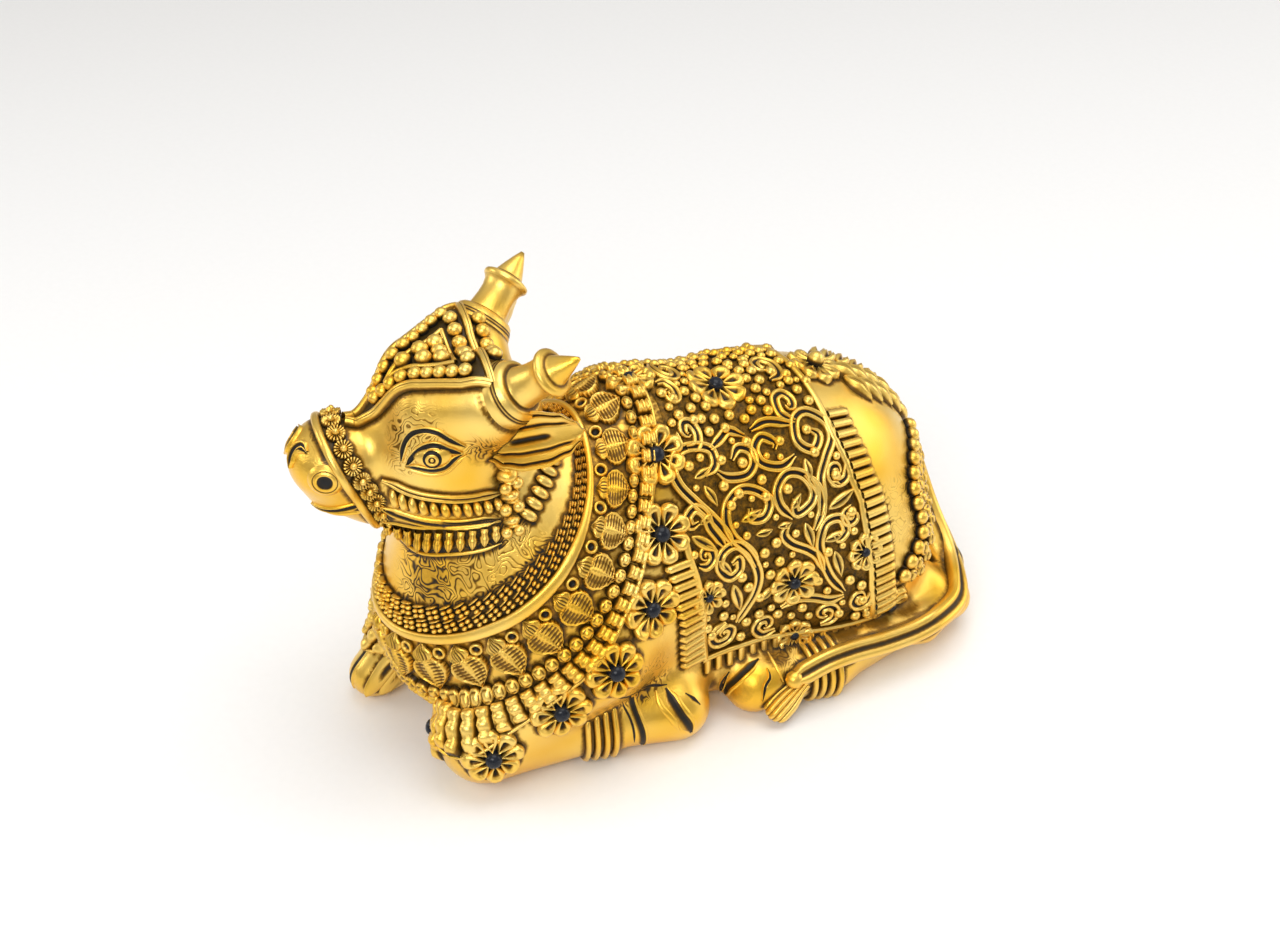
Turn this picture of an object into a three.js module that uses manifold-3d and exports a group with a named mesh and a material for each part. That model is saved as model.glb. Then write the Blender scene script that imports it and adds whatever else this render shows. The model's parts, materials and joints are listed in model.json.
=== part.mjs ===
// A recumbent temple bull, cast in one piece with its cloth, garlands and harness in relief.
// Millimetres, +Z up: the bull faces -Y, its left side is +X, and its underside rests on z = 0.

import * as THREE from "three";
import { mergeVertices } from "three/addons/utils/BufferGeometryUtils.js";
import Module from "manifold-3d";

const wasm = await Module();
wasm.setup();

// Driving dimensions: the pose below is drawn 250 mm long, from the muzzle to the tail's bend.
const LENGTH = 250;
const DRAWN_LENGTH = 250;
const HEAD_TURN = THREE.MathUtils.degToRad(13);
const HEAD_NOD = THREE.MathUtils.degToRad(4);
const CLOTH_RELIEF = 1.8;
const ORNAMENT_ROOT = 2.5;
const DEEP_ROOT = 6;
const MOST_TRIANGLES = 9900;
const TWIN_GAP = 0.01;
const HEAD_LEVEL = 96;
const HEAD_CARE = 12;
const FLOWER_RADIUS = 11.2;
const GOLD = { color: 0xb8862b, roughness: 0.34, metalness: 1 };

// Trunk masses: centre, radii, how softly each joins the ones before it, and whether it has a twin
const TRUNK = {
  brisket: { centre: [0, -61, 53], radii: [40, 48, 44], soft: 0 },
  shoulders: { centre: [0, -18, 62], radii: [43, 42, 52], soft: 20 },
  barrel: { centre: [0, 26, 57], radii: [45, 56, 57], soft: 20 },
  rump: { centre: [0, 59, 50], radii: [45, 47, 53], soft: 16 },
  hump: { centre: [0, -16, 98], radii: [20, 24, 22], soft: 20 },
  haunch: { centre: [27, 60, 36], radii: [23, 38, 34], soft: 10, twin: true },
  blade: { centre: [27, -42, 48], radii: [20, 34, 38], soft: 16, twin: true },
  belly: { centre: [0, 10, 18], radii: [42, 86, 28], soft: 14 },
};
const NECK = { from: [-1, -62, 80], to: [-5, -82, 107], radii: [37, 24], soft: 18 };

// Head masses, in the head's own frame: forward along the muzzle, left, and up
const HEAD_CENTRE = [-3, -78, 122];
const HEAD = {
  skull: { centre: [-2, 0, 2], radii: [28, 23, 25], soft: 0 },
  muzzle: { centre: [41.5, 0, 1], radii: [14, 16, 13], soft: 8 },
  chin: { centre: [36.5, 0, -11.5], radii: [13, 12, 7.5], soft: 8 },
  brow: { centre: [8, 15, 8], radii: [12, 7, 8], soft: 6 },
};
const HEAD_LIMBS = {
  snout: { from: [8, 0, 2], to: [30, 0, 0], radii: [20, 8], soft: 12 },
  jaw: { from: [0, 0, -18], to: [30, 0, -17], radii: [15, 10], soft: 8 },
  crown: { from: [-9, 15, 19], to: [8, 9, 18], radii: [15, 12], soft: 5 },
  bridge: { from: [8, 0, 17], to: [28, 0, 0.5], radii: [12.5, 7.5], soft: 5 },
};

// Legs and tail, as tapering limbs in the figure's frame
const NEAR_FORELEG = {
  forearm: { from: [33, -48, 44], to: [30, -88, 22], radii: [22, 15], soft: 8 },
  shin: { from: [28.5, -88, 15], to: [37.5, -47, 13], radii: [15, 11], soft: 8 },
  hoof: { from: [37.5, -47, 13], to: [43, -20, 12], radii: [11, 13], soft: 5 },
};
const FAR_FORELEG = {
  forearm: { from: [-33, -50, 40], to: [-29, -84, 32], radii: [22, 13], soft: 8 },
  shin: { from: [-29, -86, 32], to: [-31, -98, 14], radii: [11, 9], soft: 8 },
  hoof: { from: [-31, -99, 10], to: [-31, -104, 8], radii: [10, 9], soft: 4 },
};
const HIND_LEG = {
  cannon: { from: [36, 92, 12], to: [49, 42, 10], radii: [14, 10], soft: 8, twin: true },
  hoof: { from: [49, 42, 10], to: [46, 12, 11], radii: [10, 11], soft: 5, twin: true },
};
const TAIL_PATH = [
  [0, 97, 72], [4, 103, 52], [14, 109, 30], [29, 110, 16],
  [43, 102, 12], [52, 82, 14], [52, 60, 16], [51, 44, 17], [53, 29, 15],
];
const TAIL_RADII = [6, 6.5, 7, 7.5, 8, 7.5, 6, 5, 4];
const TUFT = { from: [53, 25, 12], to: [54, 14, 5], radii: [4.5, 5.5], soft: 2 };

// Vectors as plain arrays
const plus = (a, b, t = 1) => [a[0] + b[0] * t, a[1] + b[1] * t, a[2] + b[2] * t];
const dot = (a, b) => a[0] * b[0] + a[1] * b[1] + a[2] * b[2];
const cross = (a, b) => [
  a[1] * b[2] - a[2] * b[1],
  a[2] * b[0] - a[0] * b[2],
  a[0] * b[1] - a[1] * b[0],
];
const unit = (a) => {
  const size = Math.hypot(...a);
  return [a[0] / size, a[1] / size, a[2] / size];
};
const mirrored = (a) => [-a[0], a[1], a[2]];
const radians = THREE.MathUtils.degToRad;

const FORWARD = [
  -Math.sin(HEAD_TURN) * Math.cos(HEAD_NOD),
  -Math.cos(HEAD_TURN) * Math.cos(HEAD_NOD),
  -Math.sin(HEAD_NOD),
];
const LEFTWARD = unit(cross([0, 0, 1], FORWARD));
const UPWARD = cross(FORWARD, LEFTWARD);
const intoHead = (p) => {
  const q = plus(p, HEAD_CENTRE, -1);
  return [dot(q, FORWARD), dot(q, LEFTWARD), dot(q, UPWARD)];
};
const turnedWithHead = ([f, l, n]) => plus(plus(plus([0, 0, 0], FORWARD, f), LEFTWARD, l), UPWARD, n);
const onHead = (local) => plus(HEAD_CENTRE, turnedWithHead(local));

// Distances to the masses, in mm and negative inside

function toEllipsoid(p, { centre, radii }) {
  const q = plus(p, centre, -1);
  const near = Math.hypot(q[0] / radii[0], q[1] / radii[1], q[2] / radii[2]);
  const slope = Math.hypot(q[0] / radii[0] ** 2, q[1] / radii[1] ** 2, q[2] / radii[2] ** 2);
  return (near * (near - 1)) / Math.max(slope, 1e-9);
}

function toLimb(p, { from, to, radii }) {
  const way = plus(to, from, -1);
  const share = Math.min(Math.max(dot(plus(p, from, -1), way) / dot(way, way), 0), 1);
  const gap = plus(plus(p, from, -1), way, -share);
  return Math.hypot(...gap) - (radii[0] + (radii[1] - radii[0]) * share);
}

function blend(a, b, soft) {
  const overlap = soft > 0 ? Math.max(soft - Math.abs(a - b), 0) / soft : 0;
  return Math.min(a, b) - (overlap * overlap * soft) / 4;
}

function toMasses(p, masses, distance) {
  let nearest = 1e3;
  for (const mass of Object.values(masses)) {
    nearest = blend(nearest, distance(p, mass), mass.soft);
    if (mass.twin) nearest = blend(nearest, distance(mirrored(p), mass), mass.soft);
  }
  return nearest;
}

const trunk = (p) => blend(toMasses(p, TRUNK, toEllipsoid), toLimb(p, NECK), NECK.soft);

// The head is the same on both sides of its own middle, so a place is taken across to its left.
function head(p) {
  const [f, l, n] = intoHead(p);
  const q = [f, Math.abs(l), n];
  let nearest = 1e3;
  for (const mass of Object.values(HEAD)) nearest = blend(nearest, toEllipsoid(q, mass), mass.soft);
  for (const limb of Object.values(HEAD_LIMBS)) nearest = blend(nearest, toLimb(q, limb), limb.soft);
  return nearest;
}

function legs(p) {
  const near = toMasses(p, NEAR_FORELEG, toLimb);
  const far = toMasses(p, FAR_FORELEG, toLimb);
  return Math.min(near, far, toMasses(p, HIND_LEG, toLimb));
}

function tail(p) {
  let nearest = 1e3;
  for (let i = 1; i < TAIL_PATH.length; i++) {
    const radii = [TAIL_RADII[i - 1], TAIL_RADII[i]];
    nearest = blend(nearest, toLimb(p, { from: TAIL_PATH[i - 1], to: TAIL_PATH[i], radii }), 2);
  }
  return blend(nearest, toLimb(p, TUFT), TUFT.soft);
}

const trunkAndLegs = (p) => blend(trunk(p), legs(p), 7);
const figure = (p) => blend(blend(trunkAndLegs(p), head(p), 8), tail(p), 2);

// Where a ray from inside a form leaves it, with the outward direction there
function land(from, way, form) {
  let reach = 4;
  for (let i = 0; i < 90; i++) {
    const depth = form(plus(from, way, reach));
    if (depth > -0.01) break;
    reach -= depth * 0.7;
  }
  const point = plus(from, way, reach);
  return { point, out: slopeAt(point, form) };
}

function slopeAt(point, form) {
  const step = 0.8;
  const slope = [0, 1, 2].map((i) => {
    const ahead = [...point];
    const behind = [...point];
    ahead[i] += step;
    behind[i] -= step;
    return form(ahead) - form(behind);
  });
  return unit(slope);
}

// Meshes as lists of corners and triangles

function solidOf(corners, faces) {
  const vertProperties = new Float32Array(corners.flat());
  const triVerts = new Uint32Array(faces.flat());
  return new wasm.Manifold(new wasm.Mesh({ numProp: 3, vertProperties, triVerts }));
}

function solidOfGeometry(geometry) {
  geometry.deleteAttribute("normal");
  geometry.deleteAttribute("uv");
  const merged = mergeVertices(geometry, 1e-4);
  const corners = Array.from(merged.attributes.position.array);
  const vertProperties = new Float32Array(corners);
  return new wasm.Manifold(new wasm.Mesh({ numProp: 3, vertProperties, triVerts: merged.index.array }));
}

// The grid that the form is meshed on: where it starts along each axis, then how far each stretch
// reaches and its step, closer where the form is finer
const GRID = {
  across: { start: -71, stretches: [[-29, 7], [29, 7.2], [71, 7]] },
  along: { start: -142, stretches: [[-100, 6], [-64, 7.2], [96, 11.4], [128, 8]] },
  upward: { start: -20, stretches: [[-4, 8], [26, 7.5], [92, 11], [166, 6.2]] },
};

function gridLines({ start, stretches }) {
  const lines = [start];
  for (const [end, step] of stretches) {
    const first = lines.at(-1);
    const count = Math.round((end - first) / step);
    for (let i = 1; i <= count; i++) lines.push(first + ((end - first) * i) / count);
  }
  return lines;
}

// The surface where a form's distance is nought: one corner in each cell that it crosses
function surfaceOf(form, lines) {
  const sizes = lines.map((line) => line.length);
  const at = (i, j, k) => (i * sizes[1] + j) * sizes[2] + k;
  const depth = new Float32Array(sizes[0] * sizes[1] * sizes[2]);
  for (let i = 0; i < sizes[0]; i++)
    for (let j = 0; j < sizes[1]; j++)
      for (let k = 0; k < sizes[2]; k++)
        depth[at(i, j, k)] = form([lines[0][i], lines[1][j], lines[2][k]]);
  const corners = [];
  const cornerOf = new Map();
  const cornerIn = (i, j, k) => {
    const key = at(i, j, k);
    if (!cornerOf.has(key)) {
      cornerOf.set(key, corners.length);
      corners.push(crossingIn([i, j, k], lines, depth, at));
    }
    return cornerOf.get(key);
  };
  const faces = [];
  for (let axis = 0; axis < 3; axis++) addFacesAlong(axis, sizes, depth, at, cornerIn, faces);
  return solidOf(corners, faces);
}

// The mean of the places where a cell's twelve edges cross the surface
function crossingIn(cell, lines, depth, at) {
  const sum = [0, 0, 0];
  let count = 0;
  for (let edge = 0; edge < 12; edge++) {
    const axis = edge >> 2;
    const low = [...cell];
    low[(axis + 1) % 3] += edge & 1;
    low[(axis + 2) % 3] += (edge >> 1) & 1;
    const high = [...low];
    high[axis] += 1;
    const a = depth[at(...low)];
    const b = depth[at(...high)];
    if (a < 0 === b < 0) continue;
    const place = low.map((index, i) => lines[i][index]);
    place[axis] += (lines[axis][high[axis]] - place[axis]) * (a / (a - b));
    for (let i = 0; i < 3; i++) sum[i] += place[i];
    count += 1;
  }
  return sum.map((value) => value / count);
}

function addFacesAlong(axis, sizes, depth, at, cornerIn, faces) {
  const u = (axis + 1) % 3;
  const v = (axis + 2) % 3;
  const index = [0, 0, 0];
  for (index[axis] = 0; index[axis] < sizes[axis] - 1; index[axis]++)
    for (index[u] = 1; index[u] < sizes[u] - 1; index[u]++)
      for (index[v] = 1; index[v] < sizes[v] - 1; index[v]++) {
        const next = [...index];
        next[axis] += 1;
        const inside = depth[at(...index)] < 0;
        if (inside === depth[at(...next)] < 0) continue;
        const around = [[0, 0], [1, 0], [1, 1], [0, 1]].map(([du, dv]) => {
          const cell = [...index];
          cell[u] -= du;
          cell[v] -= dv;
          return cornerIn(...cell);
        });
        const [a, b, c, d] = inside ? around : around.reverse();
        faces.push([a, b, c], [a, c, d]);
      }
}

// A bar through a row of sections: each section is the same number of corners, in order round it
function bar(sections, closed = false) {
  const round = sections[0].length;
  const corners = sections.flat();
  const faces = [];
  const last = closed ? sections.length : sections.length - 1;
  for (let i = 0; i < last; i++) {
    const here = i * round;
    const there = ((i + 1) % sections.length) * round;
    for (let j = 0; j < round; j++) {
      const k = (j + 1) % round;
      faces.push([here + j, here + k, there + k], [here + j, there + k, there + j]);
    }
  }
  if (!closed) {
    const end = (sections.length - 1) * round;
    for (let j = 1; j < round - 1; j++) {
      faces.push([0, j + 1, j], [end, end + j, end + j + 1]);
    }
  }
  return outwards(corners, faces);
}

// A solid with its faces turned out, whichever way its corners were listed
function outwards(corners, faces) {
  let volume = 0;
  for (const [a, b, c] of faces) volume += dot(corners[a], cross(corners[b], corners[c]));
  const turned = volume > 0 ? faces : faces.map(([a, b, c]) => [a, c, b]);
  return solidOf(corners, turned);
}

// Places on the trunk, by rays from three lines of sight inside it

// The cloth is measured round a line through the barrel: y along it and an angle from the top.
const CLOTH_LINE_HEIGHT = 50;
function onCloth(y, angle) {
  const way = [Math.sin(radians(angle)), 0, Math.cos(radians(angle))];
  return land([0, y, CLOTH_LINE_HEIGHT], way, trunk);
}

// The garlands are cones round the neck's axis: a turn from the nape and a slant from the axis.
const NECK_CENTRE = [0, -46, 58];
const NECK_AXIS = unit([0, -0.756, 0.655]);
const NAPE = unit([0, 0.655, 0.756]);
function onNeck(turn, slant) {
  const away = Math.sin(radians(slant));
  const towardNape = plus([0, 0, 0], NAPE, away * Math.cos(radians(turn)));
  const towardSide = plus(towardNape, [1, 0, 0], away * Math.sin(radians(turn)));
  return land(NECK_CENTRE, plus(towardSide, NECK_AXIS, Math.cos(radians(slant))), trunkAndLegs);
}

// The harness is measured from the middle of the rump: an angle from the top and one from the tail.
const RUMP_CENTRE = [0, 62, 48];
function onRump(angle, slant) {
  const away = Math.sin(radians(slant));
  const [across, up] = [away * Math.sin(radians(angle)), away * Math.cos(radians(angle))];
  return land(RUMP_CENTRE, [across, Math.cos(radians(slant)), up], trunk);
}

// A smooth value between stops, each a place and its value
function between(stops, place) {
  const next = stops.findIndex(([stop]) => stop >= place);
  if (next <= 0) return next === 0 ? stops[0][1] : stops.at(-1)[1];
  const [[a, low], [b, high]] = [stops[next - 1], stops[next]];
  return low + (high - low) * THREE.MathUtils.smoothstep(place, a, b);
}

// A row's slant at a turn, from its slants at the nape, the side and the throat
function slantOf({ nape, side, throat }, turn) {
  const even = (nape + throat) / 4 + side / 2;
  const odd = (nape - throat) / 2;
  const bulge = (nape + throat) / 4 - side / 2;
  return even + odd * Math.cos(radians(turn)) + bulge * Math.cos(radians(2 * turn));
}

// A point raised over a landed place
const raised = (place, height) => plus(place.point, place.out, height);

// Saddle cloth
const CLOTH_FRONT = [[0, -3], [22, -11], [52, -17], [90, -12], [117, -8]];
const CLOTH_REAR = [[0, 50], [40, 52], [62, 56], [90, 58], [117, 61]];
const CLOTH_DROP = 117;
const CLOTH_STEPS = 9;
const RIM_WIDTH = 2.4;
const RIM_RELIEF = 3.2;

function saddleCloth() {
  const sections = [];
  for (let i = -CLOTH_STEPS; i <= CLOTH_STEPS; i++) {
    const angle = (CLOTH_DROP * i) / CLOTH_STEPS;
    const front = between(CLOTH_FRONT, Math.abs(angle));
    const rear = between(CLOTH_REAR, Math.abs(angle));
    const isHem = Math.abs(i) === CLOTH_STEPS;
    sections.push(clothSection(front, rear, angle, isHem ? RIM_RELIEF : CLOTH_RELIEF));
  }
  return bar(sections);
}

// Round the cloth at one angle: over its face from front to rear, then back under it
function clothSection(front, rear, angle, relief) {
  const middle = (front + rear) / 2;
  const stations = [front, front + RIM_WIDTH, middle - 12, middle + 12, rear - RIM_WIDTH, rear];
  const places = stations.map((y) => onCloth(y, angle));
  const isRim = (i) => i === 0 || i === places.length - 1;
  const over = places.map((place, i) => raised(place, isRim(i) ? RIM_RELIEF : relief));
  const under = [5, 4, 3, 2, 0].map((i) => raised(places[i], -DEEP_ROOT));
  return [...over, ...under];
}

// A row of ridged tongues from an edge: each place gives the tongue's inner and outer seat
function fringe(count, placeAt) {
  const sections = [];
  for (let i = 0; i <= 2 * count; i++) {
    const [inner, outer] = placeAt(i / (2 * count));
    const height = i % 2 ? 2.4 : 0.9;
    sections.push([
      raised(inner, -ORNAMENT_ROOT),
      raised(inner, height),
      raised(outer, height),
      raised(outer, -ORNAMENT_ROOT),
    ]);
  }
  return bar(sections);
}

function fringes(side) {
  const rear = (share) => {
    const angle = 6 + 106 * share;
    const edge = between(CLOTH_REAR, angle);
    return [onCloth(edge - 0.5, side * angle), onCloth(edge + 9, side * angle)];
  };
  const front = (share) => {
    const angle = 58 + 56 * share;
    const edge = between(CLOTH_FRONT, angle);
    return [onCloth(edge + 0.5, side * angle), onCloth(edge - 8, side * angle)];
  };
  const hem = (share) => {
    const y = -10 + 68 * share;
    return [onCloth(y, side * (CLOTH_DROP - 1)), onCloth(y, side * (CLOTH_DROP + 6))];
  };
  return [fringe(14, rear), fringe(7, front), fringe(9, hem)];
}

// Garlands round the neck: each row's slants at the nape, the side and the throat
const COLLAR_INNER = { nape: 56, side: 41, throat: 31 };
const COLLAR_OUTER = { nape: 58, side: 49, throat: 39 };
const GOLD_BAND = { nape: 60, side: 54, throat: 42 };
const LEAF_ROOTS = { nape: 61, side: 56, throat: 44 };
const LEAF_TIPS = { nape: 71, side: 75, throat: 61 };
const GARLAND_INNER = { nape: 71, side: 73, throat: 62 };
const GARLAND_MIDDLE = { nape: 74, side: 80, throat: 67 };
const GARLAND_OUTER = { nape: 77, side: 87, throat: 73 };

// A ring of stations round the neck, with a row's height given at each corner of its section
function neckRing(count, rows, heightAt) {
  const sections = [];
  for (let i = 0; i < count; i++) {
    const turn = (360 * i) / count;
    sections.push(rows.map((row, j) => raised(onNeck(turn, slantOf(row, turn)), heightAt(j, i))));
  }
  return bar(sections, true);
}

function collar() {
  const rows = [COLLAR_INNER, COLLAR_INNER, COLLAR_OUTER, GOLD_BAND, GOLD_BAND];
  const heights = [-DEEP_ROOT, 2, 1.6, 2.6, -DEEP_ROOT];
  return neckRing(36, rows, (j, i) => heights[j] + (j === 1 && i % 2 ? 0.8 : 0));
}

function garland() {
  const rows = [GARLAND_INNER, GARLAND_MIDDLE, GARLAND_OUTER];
  const heights = [-DEEP_ROOT, 2, -DEEP_ROOT];
  return neckRing(44, rows, (j, i) => heights[j] + (j === 1 && i % 2 ? 2 : 0));
}

const LEAF_COUNT = 20;
const LEAF_HALF_WIDTH = 6;

function neckLeaves() {
  const leaves = [];
  for (let i = 0; i < LEAF_COUNT; i++) {
    const turn = (360 * (i + 0.5)) / LEAF_COUNT;
    const root = raised(onNeck(turn, slantOf(LEAF_ROOTS, turn)), 1);
    const tip = raised(onNeck(turn, slantOf(LEAF_TIPS, turn)), 1);
    const middle = onNeck(turn, (slantOf(LEAF_ROOTS, turn) + slantOf(LEAF_TIPS, turn)) / 2);
    leaves.push(leaf(root, tip, middle.out, LEAF_HALF_WIDTH, 2.6));
  }
  return leaves;
}

// A pointed leaf with a raised midrib, from its root to its tip
function leaf(root, tip, out, halfWidth, height) {
  const length = plus(tip, root, -1);
  const across = unit(cross(out, length));
  const at = (along, side, up) => plus(plus(plus(root, length, along), across, side * halfWidth), out, up);
  const outline = [[0, 0], [0.3, 0.9], [0.65, 0.85], [1, 0], [0.65, -0.85], [0.3, -0.9]];
  const rim = outline.map(([along, side]) => at(along, side, 0.4));
  const under = outline.map(([along, side]) => at(along, side * 0.9, -ORNAMENT_ROOT));
  return fan(rim, under, at(0.45, 0, height));
}

// A star or leaf outline with a peak over its middle and a flat underside
function fan(rim, under, peak) {
  const round = rim.length;
  const corners = [...rim, ...under, peak];
  const faces = [];
  for (let i = 0; i < round; i++) {
    const j = (i + 1) % round;
    faces.push([i, j, 2 * round], [i, i + round, j + round], [i, j + round, j]);
    if (i > 0 && j > 0) faces.push([round, round + j, round + i]);
  }
  return outwards(corners, faces);
}

// A flower of rounded petals about a domed centre
function flower(place, along, radius, petals = 8) {
  const first = unit(cross(cross(place.out, along), place.out));
  const second = cross(place.out, first);
  const star = (share, height) => {
    const ring = [];
    for (let i = 0; i < 2 * petals; i++) {
      const turn = (Math.PI * i) / petals;
      const reach = radius * share * (i % 2 ? 0.84 : 1);
      const level = plus(plus(place.point, first, reach * Math.cos(turn)), second, reach * Math.sin(turn));
      ring.push(plus(level, place.out, height));
    }
    return ring;
  };
  return fan(star(1, 0.9), star(0.9, -ORNAMENT_ROOT), raised(place, 4));
}

// Turn and slant of each flower under the garland, from the nape down one side
const NAPE_FLOWER = { turn: 0, slant: 76, radius: 9 };
const GARLAND_FLOWERS = [[24, 79], [47, 88], [74, 97], [100, 93], [122, 87], [142, 81], [164, 77]];

function garlandFlowers() {
  const flowers = [flower(onNeck(NAPE_FLOWER.turn, NAPE_FLOWER.slant), NECK_AXIS, NAPE_FLOWER.radius)];
  for (const [turn, slant] of GARLAND_FLOWERS) {
    flowers.push(flower(onNeck(turn, slant), NECK_AXIS, FLOWER_RADIUS));
    flowers.push(flower(onNeck(-turn, slant), NECK_AXIS, FLOWER_RADIUS));
  }
  return flowers;
}

// Harness over the rump
const HARNESS = [[0, 32], [26, 38], [45, 50], [70, 62], [90, 66], [108, 76]];
const HARNESS_END = 108;

function harness(side) {
  const stations = 26;
  const sections = [];
  for (let i = 0; i <= stations; i++) {
    const angle = (HARNESS_END * i) / stations;
    const slant = between(HARNESS, angle);
    const bead = i % 2 ? 3.2 : 1.4;
    const cushion = i % 2 ? 2 : 3;
    sections.push([
      raised(onRump(side * angle, slant + 3.5), -ORNAMENT_ROOT),
      raised(onRump(side * angle, slant), bead),
      raised(onRump(side * angle, slant - 7), cushion),
      raised(onRump(side * angle, slant - 12), -ORNAMENT_ROOT),
    ]);
  }
  return bar(sections);
}

// Pairs of leaves along the croup, each from the spine to a tip further back and to the side
const CROUP_LEAVES = { first: 70, pitch: 9, pairs: 3, back: 8, spread: 12, halfWidth: 4, height: 2.8 };

function croupLeaves() {
  const { first, pitch, pairs, back, spread, halfWidth, height } = CROUP_LEAVES;
  const leaves = [];
  for (let i = 0; i < pairs; i++) {
    const y = first + pitch * i;
    for (const side of [1, -1]) {
      const root = raised(onCloth(y, 0), 1.5);
      const tip = raised(onCloth(y + back, side * spread), 0.8);
      const { out } = onCloth(y + back / 2, (side * spread) / 2);
      leaves.push(leaf(root, tip, out, halfWidth, height));
    }
  }
  return leaves;
}

const SPINE_FLOWER = { y: 62, angle: 0, radius: 11 };
const THIGH_FLOWER = { y: 69, angle: 112, radius: 9 };

function harnessFlowers() {
  const along = [0, 1, 0];
  const flowers = [flower(onCloth(SPINE_FLOWER.y, SPINE_FLOWER.angle), along, SPINE_FLOWER.radius)];
  for (const side of [1, -1]) {
    flowers.push(flower(onCloth(THIGH_FLOWER.y, side * THIGH_FLOWER.angle), along, THIGH_FLOWER.radius));
  }
  return flowers;
}

// Scrolls on the cloth: middle as y and angle, radius in mm, first turn, turns made, and its stalk
const SCROLLS = [
  { middle: [-3, 31], radius: 9, start: 0, turns: -0.9, stalk: [[-9, 42], [-1, 54], [3, 62]] },
  { middle: [10, 50], radius: 9, start: 90, turns: -0.9, stalk: [[4, 62], [11, 72], [8, 92]] },
  { middle: [43, 32], radius: 9, start: 180, turns: 0.85, stalk: [[46, 44], [40, 56], [36, 66]] },
  { middle: [43, 74], radius: 8, start: 0, turns: -0.8, stalk: [[36, 78], [41, 92], [46, 99]] },
];
const CLOTH_DEGREE = 0.87;
const CLOTH_FLOWERS = [[17, 8, 11], [27, 88, 10]];

function scroll({ middle, radius, start, turns, stalk }, side) {
  const stations = [];
  const coil = 6;
  for (let i = 0; i <= coil; i++) {
    const share = i / coil;
    const turn = radians(start + 360 * turns * share);
    const reach = radius * (0.35 + 0.65 * share);
    const y = middle[0] + reach * Math.cos(turn);
    stations.push([y, middle[1] + (reach * Math.sin(turn)) / CLOTH_DEGREE]);
  }
  stations.push(...stalk);
  const places = stations.map(([y, angle]) => onCloth(y, side * angle));
  const sections = places.map((place, i) => {
    const before = places[Math.max(i - 1, 0)].point;
    const after = places[Math.min(i + 1, places.length - 1)].point;
    const across = unit(cross(place.out, plus(after, before, -1)));
    const low = CLOTH_RELIEF - 1.2;
    const crest = CLOTH_RELIEF + 1.4;
    return [
      plus(raised(place, low), across, 1.5),
      raised(place, crest),
      plus(raised(place, low), across, -1.5),
    ];
  });
  return bar(sections);
}

function clothFlowers(side) {
  return CLOTH_FLOWERS.map(([y, angle, radius]) => {
    const { point, out } = onCloth(y, side * angle);
    return flower({ point: plus(point, out, 1), out }, [0, 1, 0], radius);
  });
}

// Horns, ears, forehead plate and bridle, in the head's frame

const HORN = { from: [-17, 22, 25], to: [-37, 35.5, 41], ring: 10 };
// Along the horn and out from it, as shares of its length and of its ring
const HORN_PROFILE = [
  [-0.3, 0], [-0.3, 1], [0.1, 1], [0.15, 0.7],
  [0.4, 0.62], [0.6, 0.8], [0.68, 0.5], [1, 0],
];

function horn(side) {
  const from = onHead([HORN.from[0], side * HORN.from[1], HORN.from[2]]);
  const to = onHead([HORN.to[0], side * HORN.to[1], HORN.to[2]]);
  const length = Math.hypot(...plus(to, from, -1));
  const points = HORN_PROFILE.map(([along, out]) => new THREE.Vector2(out * HORN.ring, along * length));
  const geometry = new THREE.LatheGeometry(points, 12);
  aim(geometry, from, unit(plus(to, from, -1)));
  return solidOfGeometry(geometry);
}

// Stands a geometry drawn up its own Y axis at a place, along a direction
function aim(geometry, place, way) {
  const upright = new THREE.Vector3(0, 1, 0);
  const turn = new THREE.Quaternion().setFromUnitVectors(upright, new THREE.Vector3(...way));
  geometry.applyQuaternion(turn);
  geometry.translate(...place);
}

const EAR = { root: [-8, 19, 3], middle: [-21, 31, 11], tip: [-34, 42, 19], halfWidth: 8, depth: 4 };

function ear(side) {
  const flip = ([f, l, n]) => [f, side * l, n];
  const root = onHead(flip(EAR.root));
  const tip = onHead(flip(EAR.tip));
  const length = plus(tip, root, -1);
  const face = unit(turnedWithHead(flip([0.45, 0.5, -0.1])));
  const across = unit(cross(face, length));
  const out = unit(cross(length, across));
  const widths = [[0, 0.45], [0.2, 0.85], [0.45, 1], [0.7, 0.8], [0.9, 0.35], [1, 0.06]];
  const sections = widths.map(([along, width]) => {
    const spot = plus(root, length, along);
    const half = width * EAR.halfWidth;
    const depth = EAR.depth * (0.4 + 0.6 * width);
    return [
      plus(spot, across, half),
      plus(plus(spot, across, half * 0.55), out, depth * 0.5),
      plus(spot, out, depth * -0.1),
      plus(plus(spot, across, -half * 0.55), out, depth * 0.5),
      plus(spot, across, -half),
      plus(spot, out, -depth),
    ];
  });
  return bar(sections);
}

// Where a ray from inside the head, across its frame, leaves it
function onFace(from, way) {
  return land(onHead(from), unit(turnedWithHead(way)), head);
}

const PLATE_LEVELS = [[-12, 24.5], [-5, 22], [3, 17.5], [11, 12.6], [19, 8], [27, 3.6], [34, 1.2]];

// The plate over the forehead: wide between the horns and narrowing to the nose
function foreheadPlate() {
  const sections = PLATE_LEVELS.map(([forward, half]) => {
    const seats = [-1, -0.7, 0, 0.7, 1].map((share) => onFace([forward, share * half, 8], [0, 0, 1]));
    const heights = [2.4, 1.6, 2.8, 1.6, 2.4];
    const over = seats.map((seat, i) => raised(seat, heights[i]));
    return [...over, raised(seats[4], -ORNAMENT_ROOT), raised(seats[0], -ORNAMENT_ROOT)];
  });
  return bar(sections);
}

// A strap: rays fan out from the head's middle line at the stations given
function strap(stations, halfWidth, height, sideways) {
  const sections = stations.map(([from, way]) => {
    const seats = [-1, 0, 1].map((share) => onFace(plus(from, sideways, share * halfWidth), way));
    return [raised(seats[0], -1), raised(seats[1], height), raised(seats[2], -1)];
  });
  return sections;
}

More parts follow.
